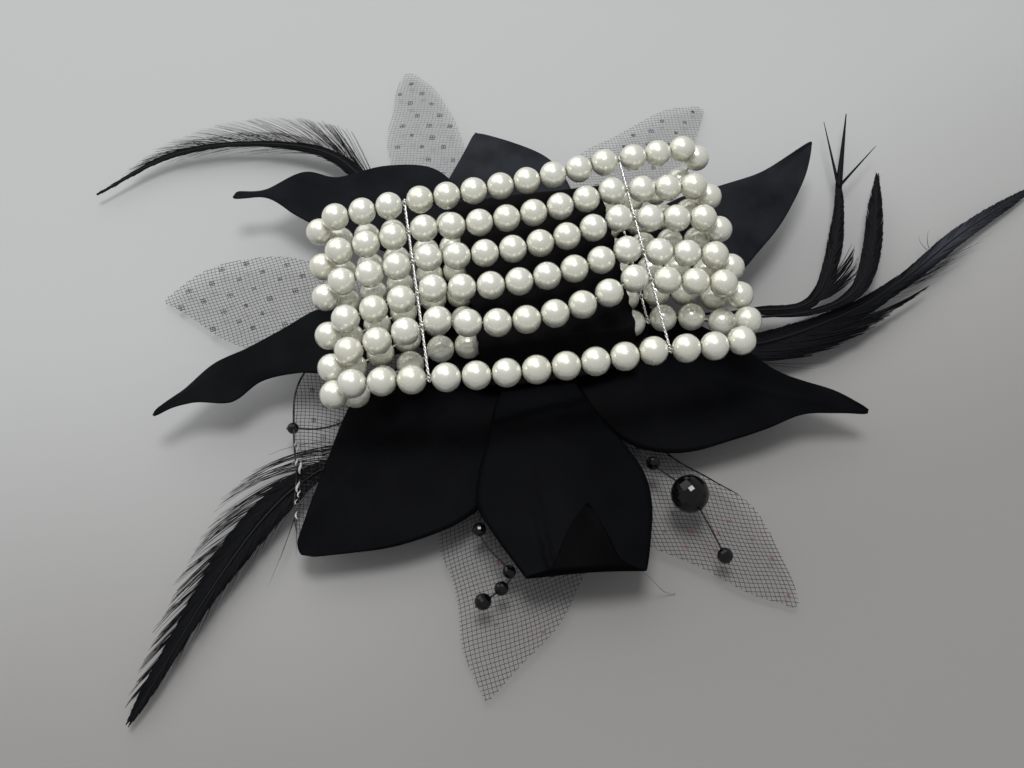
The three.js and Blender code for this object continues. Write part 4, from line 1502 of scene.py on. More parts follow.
@dataclass
class NetPetals:
    """Six petals of net, made thread by thread; the threads run straight, as in net that is cut flat.

    Attributes:
        heights: height of each layer.
        droop: how far a net hangs at the leaves' reach.
        rising: shares of the reach between which a lifted net rises.
        ripple: height of the net's waves.
        warp_pitch: distance from warp to warp.
        weft_pitch: distance from weft to weft.
        thread: radius of a thread.
        shortest: length of the shortest thread.
        drawn: how far the threads are drawn out of square.
        mark_pitch: distance from mark to mark along and across.
        uneven: unevenness of the marks' places.
        margin: distance of the marks from the cut edge.
        above: how far they lie above the net.
        rim: radius of a wired edge.
        rim_shade: its shade.
        rim_start: place along the rib where its wire starts.
        rim_steps: points along its wire.
        rim_taper: share of its radius that it loses at its end.
        cuts: the nets.
    """

    heights: tuple[float, float] = (6.75, 7.55)
    droop: float = 5.0
    rising: tuple[float, float] = (0.45, 0.65)
    ripple: float = 0.25
    warp_pitch: float = 0.92
    weft_pitch: float = 0.9
    thread: float = 0.0625
    shortest: float = 1.2
    drawn: float = 0.3
    mark_pitch: tuple[float, float] = (4.3, 6.2)
    uneven: float = 0.4
    margin: float = 0.8
    above: float = 0.03
    rim: float = 0.24
    rim_shade: float = -0.45
    rim_start: float = 0.12
    rim_steps: int = 60
    rim_taper: float = 0.6
    cuts: tuple[NetCut, ...] = NETS

    def height(self, places: Array, layer: int, lift: float = 0.0) -> Array:
        """Height of a net: a dome that hangs as the square of the reach, a slow ripple and a lift."""
        wave = self.ripple * np.sin(0.21 * places[..., 0] + 1.0) * np.sin(0.17 * places[..., 1])
        reach = reach_share(places)
        return self.heights[layer] - self.droop * reach**2 + wave + lift * ease(reach, *self.rising)

    def lay(self, cut: NetCut, places: Array) -> Array:
        """Places seen from above, drawn out of square by a slow wave and laid on the net's dome."""
        x, y = places[..., 0], places[..., 1]
        slow = stacked(np.sin(0.31 * y + 0.12 * x), np.sin(0.27 * x - 0.1 * y + 1.0))
        level = self.height(places, cut.layer, cut.lift)[..., None]
        return np.concatenate([places + self.drawn * slow, level], -1)

    def threads(self, outline: Array, degrees: float, pitch: float) -> Array:
        """Straight parallel threads, each cut off where it meets the outline.

        Args:
            outline: points round the cut.
            degrees: direction of the threads from X.
            pitch: distance from thread to thread.

        Returns:
            X and Y of points along each thread.
        """
        angle = np.radians(degrees)
        way = np.array([np.cos(angle), np.sin(angle)])
        over = np.array([-way[1], way[0]])
        along, across = outline @ way, outline @ over
        next_along, next_across = np.roll(along, -1), np.roll(across, -1)
        rows = np.arange(across.min() + pitch / 2, across.max(), pitch)[:, None]
        meets = (across < rows) != (next_across < rows)
        share = (rows - across) / np.where(meets, next_across - across, 1.0)
        places = along + share * (next_along - along)
        first = np.where(meets, places, np.inf).min(1)
        last = np.where(meets, places, -np.inf).max(1)
        kept = last - first > self.shortest
        run = first[kept, None] + (last - first)[kept, None] * np.linspace(0, 1, 12)
        return run[..., None] * way + rows[kept][..., None] * over

    @staticmethod
    def inside(outline: Array, spots: Array) -> Array:
        """Whether each spot is inside an outline: its edges to one side of the spot are odd in number.

        Args:
            outline: points round the outline.
            spots: the places to test.

        Returns:
            True for each spot that is inside.
        """
        after = np.roll(outline, -1, axis=0)
        over = (outline[:, 1] > spots[:, 1:]) != (after[:, 1] > spots[:, 1:])
        rise = after[:, 1] - outline[:, 1]
        slope = (after[:, 0] - outline[:, 0]) / np.where(rise == 0, 1.0, rise)
        beside = spots[:, :1] < outline[:, 0] + slope * (spots[:, 1:] - outline[:, 1])
        return (over & beside).sum(1) % 2 == 1

    def marks(self, cut: NetCut, seed: int) -> Surface:
        """Woven dots, or specks: short threads between those of the net, on a staggered grid.

        Args:
            cut: the net.
            seed: number that the chance starts from.

        Returns:
            All dots or specks of the net.
        """
        chance = np.random.default_rng(seed)
        style = MARKS[cut.kind]
        angle = np.radians([cut.warp, cut.weft])
        ways = stacked(np.cos(angle), np.sin(angle))
        rows, columns = np.mgrid[-20:21, -20:21]
        steps = stacked(rows * self.mark_pitch[0], (columns + 0.5 * (rows % 2)) * self.mark_pitch[1])
        uneven = steps.reshape(-1, 2) + chance.normal(0, self.uneven, (rows.size, 2))
        spots = uneven @ ways + np.mean(cut.outline(), axis=0)
        spots = spots[self.inside(cut.outline(self.margin), spots)]
        spots = spots[chance.random(len(spots)) < style.kept]
        size = style.size * chance.uniform(0.6, 1.1, len(spots))
        lanes = np.linspace(-0.5, 0.5, 3)
        warp = stacked(lanes, lanes[:, None])
        both = np.concatenate([warp, warp[..., ::-1]]) @ ways
        paths = self.lay(cut, spots[:, None, None] + size[:, None, None, None] * both).reshape(-1, 3, 3)
        shade = style.shade + style.spread * np.repeat(chance.random(len(spots)), len(both))
        paths = paths + self.above * UP
        return Surface.tubes(paths, style.thread, 3, tone=shade, finish=style.finish, ends=False)

    def edge_line(self, cut: NetCut, share: Array) -> Array:
        """Points along the wired edge of a net, laid on it."""
        return self.lay(cut, cut.rib().place(share, cut.rim * cut.edge(share, cut.rim)))

    def wired_edge(self, cut: NetCut) -> Surface:
        """Wire along an edge, which thins at its end."""
        line = self.edge_line(cut, np.linspace(self.rim_start, 0.99 * cut.rim_end, self.rim_steps))
        size = self.rim * (1 - self.rim_taper * np.linspace(0, 1, self.rim_steps) ** 6)
        return Surface.tubes(line[None], size, tone=self.rim_shade)

    def build(self) -> None:
        """Makes the nets thread by thread, with their marks, and a wired edge and glue where they have them.
        """
        for number, cut in enumerate(self.cuts, 1):
            node = f"net_petal_{number}"
            sets = ((cut.warp, self.warp_pitch), (cut.weft, self.weft_pitch))
            paths = [self.threads(cut.outline(), degrees, pitch) for degrees, pitch in sets]
            woven = self.lay(cut, np.concatenate(paths))
            threads = Surface.tubes(woven, self.thread, 3, tone=cut.shade, ends=False)
            parts = [threads, self.marks(cut, number)]
            if cut.rim:
                parts.append(self.wired_edge(cut))
            net = place_piece(f"{node}_threads", Surface.join(parts), [TULLE, SPECK], (node,))
            flat, area = cut.flat_size()
            if cut.rim < 0:
                self.build_glue(cut)

    def build_glue(self, cut: NetCut) -> None:
        """Drops of dry glue along a wired edge: short tubes that swell and close as half a sine."""
        middle = np.array([0.735, 0.748, 0.788, 0.806, 0.862, 0.883, 0.905, 0.945])
        length = np.array([1.0, 1.4, 1.7, 2.6, 2.4, 1.6, 1.2, 1.8])
        size = np.array([0.14, 0.2, 0.24, 0.34, 0.3, 0.2, 0.14, 0.2])
        aside = np.array([0.3, 0.7, 0.2, 0.9, 0.5, 0.9, 0.4, 0.5])
        steps = 9
        run = middle[:, None] + (length / cut.rib().length)[:, None] * np.linspace(-0.5, 0.5, steps)
        swell = size[:, None] * np.sqrt(np.sin(np.linspace(0.06, np.pi - 0.06, steps)))
        lines = self.edge_line(cut, run) + stacked(aside, 0.0, 0.3)[:, None]
        lines[..., 0] += 0.25 * np.sin(np.linspace(0, 5, steps) + 9 * middle[:, None])
        drops = Surface.tubes(lines, swell, 8, tone=np.linspace(0, 1, 8))
        place_piece("rim_glue", drops, [GLUE])


@dataclass(frozen=True)
class Vane:
    """Barbs along one side of a quill.

    Attributes:
        side: side of the quill.
        widths: reach of the barbs from the quill, at equal steps from the first barb to the last.
        barbs: number of barbs.
        start: place along the quill of the first barb.
        end: place of the last.
        sweep: how far a barb's end lies ahead of its root.
        thick: half width of a barb.
        taper: share of that width that a barb loses towards its end.
        clumps: number of clumps that the barbs gather in.
        gather: how closely a clump's ends come together, 0 to 1.
        stray: unevenness of the ends.
        straight: how far a barb is drawn straight, 0 to 1.
    """

    side: Side
    widths: tuple[float, ...]
    barbs: int
    start: float
    end: float
    sweep: float
    thick: float = 0.25
    taper: float = 0.6
    clumps: int = 1
    gather: float = 0.0
    stray: float = 0.08
    straight: float = 0.0


@dataclass(frozen=True)
class FeatherCut:
    """One feather.

    Attributes:
        root: place round the core, in degrees.
        line: points that its quill passes through, after the root.
        rise: height of its tip.
        vanes: webs of close barbs, and thinner loose barbs.
        spikes: ends of long bare barbs at its tip, seen from above, each with its half width.
        wisps: loose barbs, each as its root, its bend and its end in X, Y and Z.
        painted_gleam: painted highlight, how much lighter its barbs are made where the feather turns to the
            light.
    """

    root: float
    line: tuple[tuple[float, float], ...]
    rise: float
    vanes: tuple[Vane, ...]
    spikes: tuple[tuple[float, float, float], ...] = ()
    wisps: tuple[tuple[tuple[float, float, float], ...], ...] = ()
    painted_gleam: float = 0.0


FEATHERS = (
    FeatherCut(
        118,
        ((-16, 20.5), (-29.2, 40), (-42.5, 59.6), (-63.3, 67.5), (-84.6, 67.4), (-104, 57.8)),
        4.0,
        (
            Vane(Side.RIGHT, (2.0, 1.9, 1.5, 0.95, 0.9, 1.2, 1.0, 0.6, 0.3), 200, 0.34, 0.99, 13, 0.2),
            Vane(Side.LEFT, (2.0, 1.9, 1.5, 0.95, 0.8, 0.9, 0.8, 0.5, 0.3), 190, 0.34, 0.99, 13, 0.2),
            Vane(
                Side.RIGHT, (9.6, 10.2, 9.6, 7.8, 5.6, 3.5, 1.9), 130, 0.45, 0.87, 16, 0.07,
                taper=0.75, stray=0.1, straight=0.4,
            ),
            Vane(
                Side.RIGHT, (4.4, 4.8, 4.6, 4.0, 3.2, 2.4, 1.4), 90, 0.52, 0.88, 14, 0.08,
                taper=0.75, stray=0.2,
            ),
            Vane(Side.RIGHT, (9.6, 10.4, 10.4), 40, 0.36, 0.46, 22, 0.10, 0.6, 1, 0.2, 0.08, 0.9),
            Vane(Side.LEFT, (3.4, 3.2, 2.6, 1.8), 32, 0.47, 0.78, 19, 0.06, 0.8, 8, 0.35, 0.25),
        ),
    ),
    FeatherCut(
        214,
        ((-23.4, -18), (-41.6, -27.4), (-59.8, -36.9), (-75.3, -53.7), (-93.7, -80.1)),
        3.0,
        (
            Vane(Side.LEFT, (3.0, 3.3, 3.0, 2.4, 1.8, 1.5, 1.3, 1.0, 0.3), 230, 0.40, 0.995, 14),
            Vane(Side.RIGHT, (3.4, 4.2, 4.4, 3.9, 2.8, 2.2, 1.9, 1.4, 0.4), 230, 0.40, 0.995, 14),
            Vane(
                Side.RIGHT, (10.6, 9.8, 8.4, 7.2, 5.8, 4.4, 3.2, 2.0), 190, 0.35, 0.93, 20, 0.12,
                taper=0.75, clumps=11, gather=0.75, stray=0.1,
            ),
            Vane(
                Side.LEFT, (4.2, 4.6, 3.8, 2.8, 2.0, 1.4), 70, 0.42, 0.90, 18, 0.07,
                taper=0.85, clumps=12, gather=0.3, stray=0.25,
            ),
        ),
        wisps=(
            ((-57.5, -40.6, 6.0), (-59.5, -45.0, 5.0), (-62.1, -51.0, 4.0)),
            ((-57.5, -40.6, 6.0), (-60.5, -48.0, 4.6), (-65.3, -55.9, 2.4)),
            ((-57.6, -42.0, 6.0), (-58.2, -46.0, 4.4), (-58.8, -50.2, 3.0)),
        ),
    ),
    FeatherCut(
        345,
        ((22, -9.6), (38, -12.6), (54, -15.3), (78, -9.3), (95, -1.2), (114.5, 10.8), (137, 22.2)),
        2.0,
        (
            Vane(Side.LEFT, (3.2, 3.2, 2.4, 2.1, 1.8, 2.1, 2.3, 2.1, 1.7, 0.9), 280, 0.24, 0.995, 14),
            Vane(Side.RIGHT, (5.8, 6.6, 6.0, 5.0), 110, 0.22, 0.42, 26, 0.26, 0.7, 3, 0.2, 0.1),
            Vane(Side.RIGHT, (4.0, 3.0, 2.3, 2.2, 2.2, 2.1), 150, 0.36, 0.72, 13),
            Vane(Side.RIGHT, (2.1, 2.1, 1.8, 1.4, 0.7), 120, 0.66, 0.995, 14),
            Vane(Side.RIGHT, (5.0, 5.2, 5.4), 40, 0.40, 0.47, 31, 0.17, 0.55, 1, 0.8, 0.07),
            Vane(Side.RIGHT, (4.6, 5.0, 4.4), 40, 0.58, 0.70, 22, 0.06, 0.85, 7, 0.5, 0.3),
        ),
        wisps=(
            ((103.6, 6.6, 4.3), (102.0, 8.6, 4.6), (102.6, 10.8, 4.9)),
            ((104.2, 7.0, 4.3), (104.0, 9.6, 4.7), (105.8, 12.2, 5.0)),
            ((104.8, 7.2, 4.3), (107.0, 8.2, 4.5), (107.4, 9.8, 4.8)),
            ((52.0, -19.5, 5.6), (60.0, -21.2, 4.6), (70.0, -20.9, 3.4)),
            ((50.0, -19.0, 5.6), (58.0, -21.4, 4.6), (66.0, -22.4, 3.6)),
        ),
        painted_gleam=17.0,
    ),
    FeatherCut(
        15,
        (
            (22, -4.6), (38, -5.6), (54.6, -6.7), (65.5, -7.2), (71.8, -3.2),
            (77, 4.6), (80.7, 12), (84.7, 22.1), (87.3, 31),
        ),
        6.6,
        (
            Vane(Side.LEFT, (1.3, 1.4, 1.6, 1.9, 2.0, 1.5, 1.1, 0.5), 210, 0.40, 0.985, 10),
            Vane(Side.RIGHT, (1.3, 1.4, 1.6, 1.9, 2.0, 1.5, 1.1, 0.5), 210, 0.40, 0.985, 10),
            Vane(Side.RIGHT, (6.6, 5.8, 5.0, 4.2), 50, 0.60, 0.67, 15, 0.18, 0.75, 5, 0.95, 0.08),
        ),
        spikes=((89.4, 50.4, 0.5), (96.2, 52.2, 0.9), (100.5, 40.0, 0.42)),
    ),
    FeatherCut(
        0,
        (
            (22, -6.2), (38, -7.4), (54.6, -8.6), (66, -9.1), (74, -7.8),
            (79.2, -5.3), (83.4, -1.4), (88.3, 7), (92.1, 16), (97.8, 30.8),
        ),
        6.5,
        (
            Vane(Side.LEFT, (0.8, 0.9, 1.7, 2.2, 2.3, 2.2, 1.9, 1.1, 0.3), 190, 0.45, 0.99, 10),
            Vane(Side.RIGHT, (0.8, 1.0, 1.9, 2.4, 2.5, 2.4, 2.0, 1.2, 0.3), 190, 0.45, 0.99, 10),
            Vane(Side.RIGHT, (1.4, 1.0, 0.6), 24, 0.90, 1.0, 7, 0.08, 0.85, 5, 0.5, 0.6),
            Vane(Side.LEFT, (1.0, 0.7, 0.4), 20, 0.92, 1.0, 6, 0.08, 0.85, 4, 0.5, 0.6),
        ),
    ),
)


@dataclass
class Feathers:
    """Five feathers, each a tapered quill with barbs that close to a blade or hang loose.

    Attributes:
        quill: radius of a quill at its root.
        quill_taper: share of that radius that it loses towards its tip.
        quill_z: height of the quills at the core.
        fall: power by which a quill sinks to its tip.
        steps: points along a barb.
        flatness: height of a barb as a share of its width.
        spread: power by which a barb leaves the quill.
        camber: how far the ends of the widest barbs hang.
        wander: unevenness of the barbs' heights.
        mixing: unevenness of the borders between clumps, in clumps.
        shortening: share of its sweep that a barb loses at the tip.
        wave: unevenness of a barb's distance from the quill.
        painted_gleam_at: place along the quill where the painted gleam is lightest.
        painted_gleam_width: half width of the painted gleam.
        spike_root: place along the quill where spikes start.
        wisp: half width of a loose barb.
        loose_steps: points along a spike or a loose barb.
        loose_taper: share of its width that it loses towards its end.
        first_seed: number before the one that the first feather's chance starts from.
        cuts: the feathers.
    """

    quill: float = 0.5
    quill_taper: float = 0.82
    quill_z: float = 8.6
    fall: float = 1.3
    steps: int = 8
    flatness: float = 0.35
    spread: float = 0.72
    camber: float = 0.5
    wander: float = 0.12
    mixing: float = 0.12
    shortening: float = 0.9
    wave: float = 0.06
    painted_gleam_at: float = 0.78
    painted_gleam_width: float = 0.09
    spike_root: float = 0.97
    wisp: float = 0.09
    loose_steps: int = 12
    loose_taper: float = 0.85
    first_seed: int = 100
    cuts: tuple[FeatherCut, ...] = FEATHERS

    def lift(self, share: Array, rise: float) -> Array:
        """Height of a quill: from the core to its tip's height by a power of the way."""
        return self.quill_z + (rise - self.quill_z) * np.clip(share, 0, 1.15) ** self.fall

    def barbs(self, rib: Rib, cut: FeatherCut, vane: Vane, chance: np.random.Generator) -> Surface:
        """Barbs of a vane.

        A barb leaves the quill and bends towards the tip: its distance from the quill grows as a power of the
        way that is less than one. Ends of a clump lean to its middle, and the sweep shortens towards the tip.

        Args:
            rib: the quill.
            cut: the feather.
            vane: the vane.
            chance: source of the unevenness.

        Returns:
            The barbs.
        """
        order = (np.arange(vane.barbs) + 0.5) / vane.barbs
        base = vane.start + (vane.end - vane.start) * order
        gathered = np.floor(order * vane.clumps + chance.normal(0, self.mixing, vane.barbs)) + 0.5
        clump = np.clip(gathered / vane.clumps, 0, 1)
        middle = vane.start + (vane.end - vane.start) * clump
        lean = vane.gather * (middle - base)
        reach = vane.sweep / rib.length * (1 - self.shortening * np.clip(base, 0, 1) ** 4)
        end = base + lean + reach * (1 + chance.normal(0, vane.stray, vane.barbs))
        wide = through(vane.widths, order)
        wide = wide + 0.5 * vane.gather * (through(vane.widths, clump) - wide)
        wide = wide * (1 + chance.normal(0, 0.3 * vane.stray, vane.barbs))
        way = np.linspace(0, 1, self.steps)
        share = base[:, None] + (end - base)[:, None] * way
        wavy = 1 + self.wave * np.sin(3 * way + 40 * clump[:, None])
        offset = vane.side.value * wide[:, None] * way**self.spread * wavy
        places = rib.place(share, offset)
        straight = places[:, :1] + (places[:, -1:] - places[:, :1]) * way[:, None]
        places = places + vane.straight * (straight - places)
        camber = self.camber * (np.abs(offset) / max(vane.widths)) ** 2
        level = self.lift(share, cut.rise) - camber + chance.normal(0, self.wander, vane.barbs)[:, None] * way
        paths = np.concatenate([places, level[..., None]], -1)
        taper = np.broadcast_to(vane.thick * (1 - vane.taper * way**1.5), share.shape)
        # Painted gleam: the barbs' tone is raised where the feather turns to the lamps.
        painted_gleam_bell = np.exp(-(((base - self.painted_gleam_at) / self.painted_gleam_width) ** 2))
        tone = chance.random(vane.barbs) + cut.painted_gleam * (0.7 * painted_gleam_bell + 0.3 * ease(base, 0.6, self.painted_gleam_at))
        return Surface.tubes(paths, taper, 3, self.flatness, tone)

    def shaft(self, rib: Rib, rise: float) -> Surface:
        """Quill: a tube that thins evenly to its tip."""
        share = np.linspace(0, 1, 60)
        path = np.concatenate([rib.place(share, np.zeros_like(share)), self.lift(share, rise)[:, None]], -1)
        return Surface.tubes(path[None], self.quill * (1 - self.quill_taper * share), 7, finish=1)

    def loose(self, rib: Rib, cut: FeatherCut) -> list[Surface]:
        """Spikes at the tip and loose barbs: parabolas from a root over a bend to an end."""
        start = np.array(self.spike_root)
        root = np.append(rib.place(start, np.array(0.0)), self.lift(start, cut.rise))
        ends = [(np.array([x, y, cut.rise]), size) for x, y, size in cut.spikes]
        strands = [(root, 0.5 * (root + end), end, size) for end, size in ends]
        strands += [(*np.array(wisp), self.wisp) for wisp in cut.wisps]
        curves = [(parabola(*bends, self.loose_steps), size) for *bends, size in strands]
        taper = 1 - self.loose_taper * np.linspace(0, 1, self.loose_steps)
        return [Surface.tubes(curve[None], size * taper, 4, 0.5) for curve, size in curves]

    def build(self) -> None:
        """Makes the feathers."""
        for number, cut in enumerate(self.cuts, 1):
            node = f"feather_{number}"
            knots = np.array([root_point(cut.root), *cut.line])
            rib = Rib(through(knots, np.linspace(0, 1, 301)))
            chance = np.random.default_rng(self.first_seed + number)
            vanes = [self.barbs(rib, cut, vane, chance) for vane in cut.vanes]
            surface = Surface.join([*vanes, self.shaft(rib, cut.rise), *self.loose(rib, cut)])
            place_piece(f"{node}_barbs", surface, [VANE, QUILL], (node,))


@dataclass
class BeadSprays:
    """Three wires with faceted black beads.

    Attributes:
        wire: radius of one strand of a wire.
        spread: distance of a strand from the middle of its wire.
        winding: length of one turn of a wire's strands.
        bore: radius of a bead's bore.
        large: radius from which a bead has more facets.
        facets: corners round a small and a large bead, each with its rings.
        roots: place of each wire round the core, in degrees.
        stems: points of each wire before its beads, seen from above.
        beads: numbers of the beads on each wire.
        seat: height of a bare wire above the nets.
        tail: length of wire past the last bead.
    """

    wire: float = 0.14
    spread: float = 0.13
    winding: float = 1.7
    bore: float = 0.32
    large: float = 3.0
    facets: tuple[tuple[int, int], ...] = ((14, 9), (24, 14))
    roots: tuple[float, ...] = (303, 256, 192)
    stems: tuple[tuple[tuple[float, float], ...], ...] = (
        ((13, -28),),
        ((-12, -38),),
        ((-30, -16), (-48, -21.5)),
    )
    beads: tuple[tuple[int, ...], ...] = ((1, 2, 3), (4, 5, 6, 7), (8,))
    seat: float = 0.9
    tail: float = 0.05

    def route(self, number: int, nets: NetPetals) -> tuple[Array, Array, Array]:
        """Wire of a spray, through the middles of its beads.

        Args:
            number: number of the spray, from 0.
            nets: the nets that it lies on.

        Returns:
            Points of the wire, and the middle and the radius of each bead.
        """
        boxes = [[np.array(corner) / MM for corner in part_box(f"spray_bead_{n}")] for n in self.beads[number]]
        middles = np.array([(low + high) / 2 for low, high in boxes])
        radii = np.array([(high - low).max() / 2 for low, high in boxes])
        flat = np.array([root_point(self.roots[number]), *self.stems[number]])
        low = np.concatenate([flat, (nets.height(flat, 1) + self.seat)[:, None]], -1)
        ahead = unit(middles[-1] - (middles[-2] if len(middles) > 1 else low[-1]))
        end = middles[-1] + ahead * (radii[-1] + self.tail)
        return np.concatenate([low, middles, end[None]]), middles, radii

    def build(self, nets: NetPetals) -> None:
        """Makes the wires and beads on the nets."""
        for number in range(len(self.roots)):
            knots, middles, radii = self.route(number, nets)
            path = through(knots, np.linspace(0, 1, 40 * len(knots)))
            turns = np.linalg.norm(np.diff(path, axis=0), axis=1).sum() / self.winding
            wire = twisted(path, self.spread, np.linspace(0, 2 * np.pi * turns, len(path)), self.wire, 0)
            node = f"spray_wire_{number + 1}"
            place_piece(f"{node}_twist", wire, [BLACK_WIRE], (node,))
            steps = np.gradient(knots, axis=0)[len(knots) - 1 - len(middles) : -1]
            for bead, middle, step, radius in zip(self.beads[number], middles, steps, radii):
                node = f"spray_bead_{bead}"
                facets = self.facets[int(radius > self.large)]
                cut = Surface.beads(middle[None], step[None], radius, self.bore, *facets)
                place_piece(f"{node}_cut", cut, [JET], (node,), smooth=False)
        self.build_glue()

    def build_glue(self) -> None:
        """Strings of dry glue where the first spray leaves the petals, uneven in width."""
        route = np.array([[13.2, -28.8, 9.2], [14.8, -32.2, 9.0], [17.5, -36.1, 8.4], [21.4, -39.3, 7.6]])
        way = np.linspace(0, 1, 30)
        path = through(route, way)
        aside = stacked(1.1 * np.sin(3 * way), 0.5 * np.cos(4 * way), 0.1)
        size = 0.12 + 0.16 * np.abs(np.sin(7 * way))
        strings = Surface.tubes(np.stack([path, path + aside]), np.stack([size, 0.7 * size[::-1]]))
        place_piece("spray_glue", strings, [GLUE])


@dataclass
class FlowerFace:
    """Inner blossom and covered button, on the side that lies on the table.

    Attributes:
        blossom_z: height of the blossom's middle.
        blossom_diameter: its width from tip to tip.
        blossom_share: share of the square round it that its cloth fills.
        notch: depth of the gaps between its lobes, as a share of the radius.
        lobes: number of lobes.
        crease: height of the creases between lobes.
        billow: height by which a lobe billows.
        thickness: thickness of its cloth.
        clearance: height of its tips above the table.
        button_diameter: width of the button.
        button_flat: width of its flat face.
        button_height: its height.
        belly: share of that height at which it is widest.
        pleats: number of gathers round it.
        pleat: depth of a gather as a share of the radius.
        sides: corners round it.
        fill: how full it is padded.
        tone_and_painted_sheen: shade of both cloths; at 0.05 it is the satin's plain tone, with no painted
            sheen.
    """

    blossom_z: float = 4.8
    blossom_diameter: float = 68.0
    blossom_share: float = 0.62
    notch: float = 0.4
    lobes: int = 5
    crease: float = 0.5
    billow: float = 0.9
    thickness: float = 0.4
    clearance: float = 0.15
    button_diameter: float = 23.0
    button_flat: float = 17.0
    button_height: float = 4.2
    belly: float = 0.55
    pleats: int = 22
    pleat: float = 0.018
    sides: int = 132
    fill: float = 0.9
    tone_and_painted_sheen: float = 0.05

    def blossom(self) -> Surface:
        """Five lobes in one sheet: rings that reach further along each lobe and arch down to the table."""
        angle = np.linspace(0, 2 * np.pi, 180, endpoint=False)[None]
        share = np.linspace(0.01, 1, 36)[:, None]
        lobe = np.abs(np.cos(angle * self.lobes / 2)) ** 0.8
        radius = share * self.blossom_diameter / 2 * (1 - self.notch * (1 - lobe) * share)
        inner = self.button_diameter / 2
        drop = self.blossom_z - self.thickness / 2 - self.clearance
        out = np.clip((radius - inner) / (self.blossom_diameter / 2 - inner), 0, 1)
        crease = self.crease * np.exp(-(((1 - lobe) / 0.05) ** 2)) * out * (1 - out)
        billow = self.billow * out * (1 - out) * np.cos(angle * self.lobes)
        z = self.blossom_z - drop * out**2 + crease + billow
        x, y = radius * np.cos(angle), FLOWER_Y + radius * np.sin(angle)
        return Surface.grid(stacked(x, y, z), tone=self.tone_and_painted_sheen, around=True)

    def button(self) -> Surface:
        """Covered button: a domed profile turned about its axis, gathered in pleats towards its back."""
        flat, full = self.button_flat / 2, self.button_diameter / 2
        belly = self.button_height * self.belly
        bow = np.linspace(-np.pi / 2, 0.75, 12)
        back = flat + (full - flat) * np.cos(bow)
        radius = np.concatenate([flat * np.array([0.05, 0.4, 0.75]), back, full * np.array([0.6, 0.2])])
        height = np.concatenate([[0.0, 0.0, 0.0], belly * (1 + np.sin(bow)), [self.button_height] * 2])
        angle = np.linspace(0, 2 * np.pi, self.sides, endpoint=False)
        rising = np.clip(height / self.button_height, 0, 1)[:, None]
        gather = 1 + self.pleat * rising * np.cos(self.pleats * angle)
        wide = radius[:, None] * gather
        z = np.minimum(height, self.button_height)[:, None] + 0 * angle
        points = stacked(wide * np.cos(angle), FLOWER_Y + wide * np.sin(angle), z)
        return Surface.grid(points[:, ::-1], tone=self.tone_and_painted_sheen, around=True).closed_over(self.sides)

    def build(self) -> None:
        """Makes the blossom, the button and the core's finish."""
        blossom = place_piece("blossom_cloth", self.blossom(), [SATIN], ("inner_blossom",))
        thicken(blossom, self.thickness)
        button = place_piece("covered_button", self.button(), [SATIN], ("flower_centre",))
        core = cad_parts["glue_core"]
        core.data.materials.clear()
        core.data.materials.append(GLUE.material())
        log.info("glue_core: dressed on %s", Body.FLOWER.value)


# Stage


@dataclass(frozen=True)
class Lamp:
    """A round soft lamp that faces the part.

    Attributes:
        name: its name.
        place: where it hangs, in millimetres.
        size: its width in metres.
        power: its power in watts.
    """

    name: str
    place: tuple[float, float, float]
    size: float
    power: float


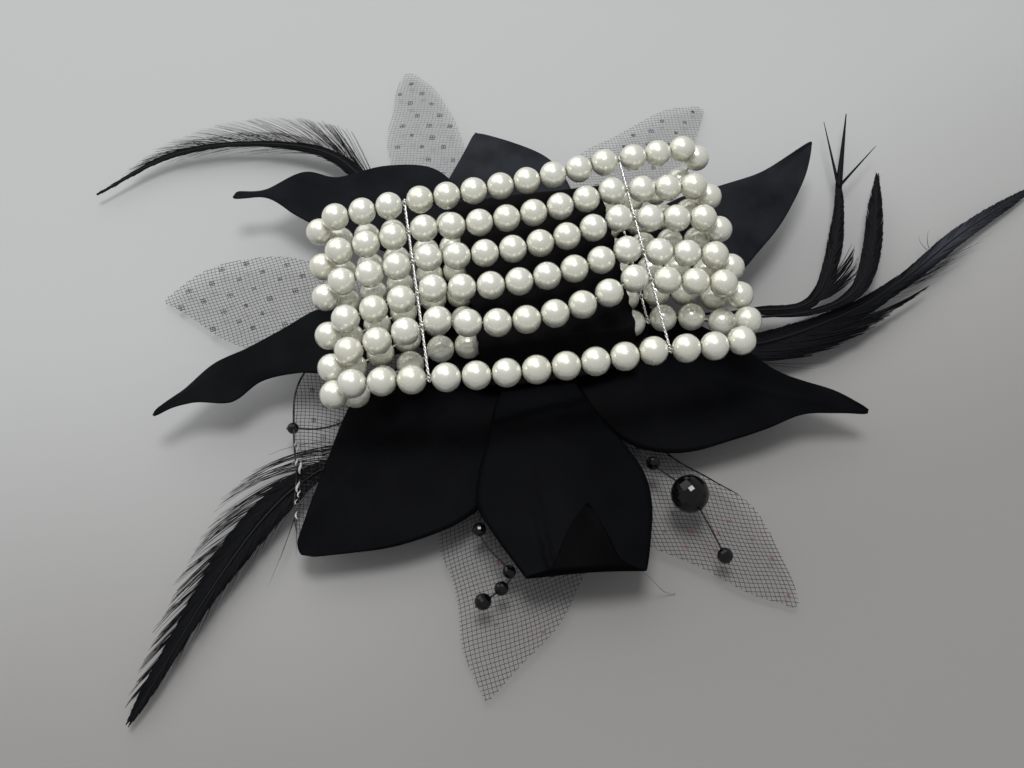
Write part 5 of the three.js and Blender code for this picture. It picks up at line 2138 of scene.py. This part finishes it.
@dataclass
class Stage:
    """Table, light and camera.

    Attributes:
        elevation: height of the view, in degrees.
        azimuth: its turn, in degrees.
        eye: place of the camera.
        focal: distance of the image from the lens, in pixels.
        image: width of the image in pixels.
        sensor: width of the image in the camera, in millimetres.
        near: nearest distance that the camera shows, in metres.
        table: width of the table.
        lamps: the lamps.
        sky: brightness of the light from all round.
        sky_colour: its colour.
    """

    elevation: float = 60.0
    azimuth: float = -9.0
    eye: tuple[float, float, float] = (-26.2, -143.0, 227.7)
    focal: float = 1100.0
    image: float = 1024.0
    sensor: float = 36.0
    near: float = 0.01
    table: float = 4000.0
    lamps: tuple[Lamp, ...] = (
        Lamp("overhead_lamp", (-10.0, 60.0, 750.0), 0.26, 2.6),
        Lamp("back_lamp", (-300.0, 560.0, 620.0), 1.3, 4.3),
    )
    sky: float = 0.38
    sky_colour: Colour = (0.97, 0.985, 1.0)

    @staticmethod
    def hang(name: str, data: bpy.types.ID, back: Array, right: Array, place: Array) -> bpy.types.Object:
        """Puts a camera or lamp at a place in millimetres, with its back and its right to the ways given."""
        columns = np.eye(4)
        columns[:3] = stacked(right, np.cross(back, right), back, place * MM)
        holder = bpy.data.objects.new(name, data)
        holder.matrix_world = Matrix(columns.tolist())
        bpy.context.scene.collection.objects.link(holder)
        return holder

    def build_camera(self) -> None:
        """Camera at the photograph's angle."""
        lens = bpy.data.cameras.new("camera")
        lens.sensor_fit = "HORIZONTAL"
        lens.sensor_width = self.sensor
        lens.lens = self.focal * self.sensor / self.image
        lens.clip_start = self.near
        turn, rise = np.radians([self.azimuth, self.elevation])
        back = np.array([np.sin(turn) * np.cos(rise), -np.cos(turn) * np.cos(rise), np.sin(rise)])
        right = np.array([np.cos(turn), np.sin(turn), 0.0])
        bpy.context.scene.camera = self.hang("camera", lens, back, right, np.array(self.eye))

    def build_light(self) -> None:
        """Soft lamps that face the part, and even light from all round."""
        for lamp in self.lamps:
            light = bpy.data.lights.new(lamp.name, "AREA")
            light.shape = "DISK"
            light.size = lamp.size
            light.energy = lamp.power
            place = np.array(lamp.place)
            back = unit(place)
            self.hang(lamp.name, light, back, unit(np.cross([0.0, 1.0, 0.0], back)), place)
        world = bpy.data.worlds.new("room")
        world.use_nodes = True
        sheet = NodeSheet(world.node_tree)
        sky = sheet.add("Background", {"Color": (*self.sky_colour, 1.0), "Strength": self.sky})
        sheet.add("OutputWorld", {"Surface": sky.outputs[0]})
        bpy.context.scene.world = world

    def build_table(self) -> None:
        """Flat table top at height zero."""
        line = np.linspace(-0.5, 0.5, 3) * self.table
        points = stacked(line[:, None], line[None], 0.0)
        mesh = Surface.grid(points).mesh("table", False)
        mesh.materials.append(TABLE.material())
        table = bpy.data.objects.new("table", mesh)
        bpy.context.scene.collection.objects.link(table)

    def build(self) -> None:
        """Sets the stage."""
        bpy.context.scene.view_settings.view_transform = "Standard"
        self.build_camera()
        self.build_light()
        self.build_table()


def main() -> None:
    """Builds the stage and the corsage."""
    logging.basicConfig(level=logging.INFO, format="%(name)s: %(message)s")
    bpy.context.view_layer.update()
    Stage().build()
    band = PearlBand()
    band.build()
    FeltPieces().build(band)
    OuterPetals().build()
    nets = NetPetals()
    nets.build()
    Feathers().build()
    BeadSprays().build(nets)
    FlowerFace().build()


if __name__ == "__main__":
    main()
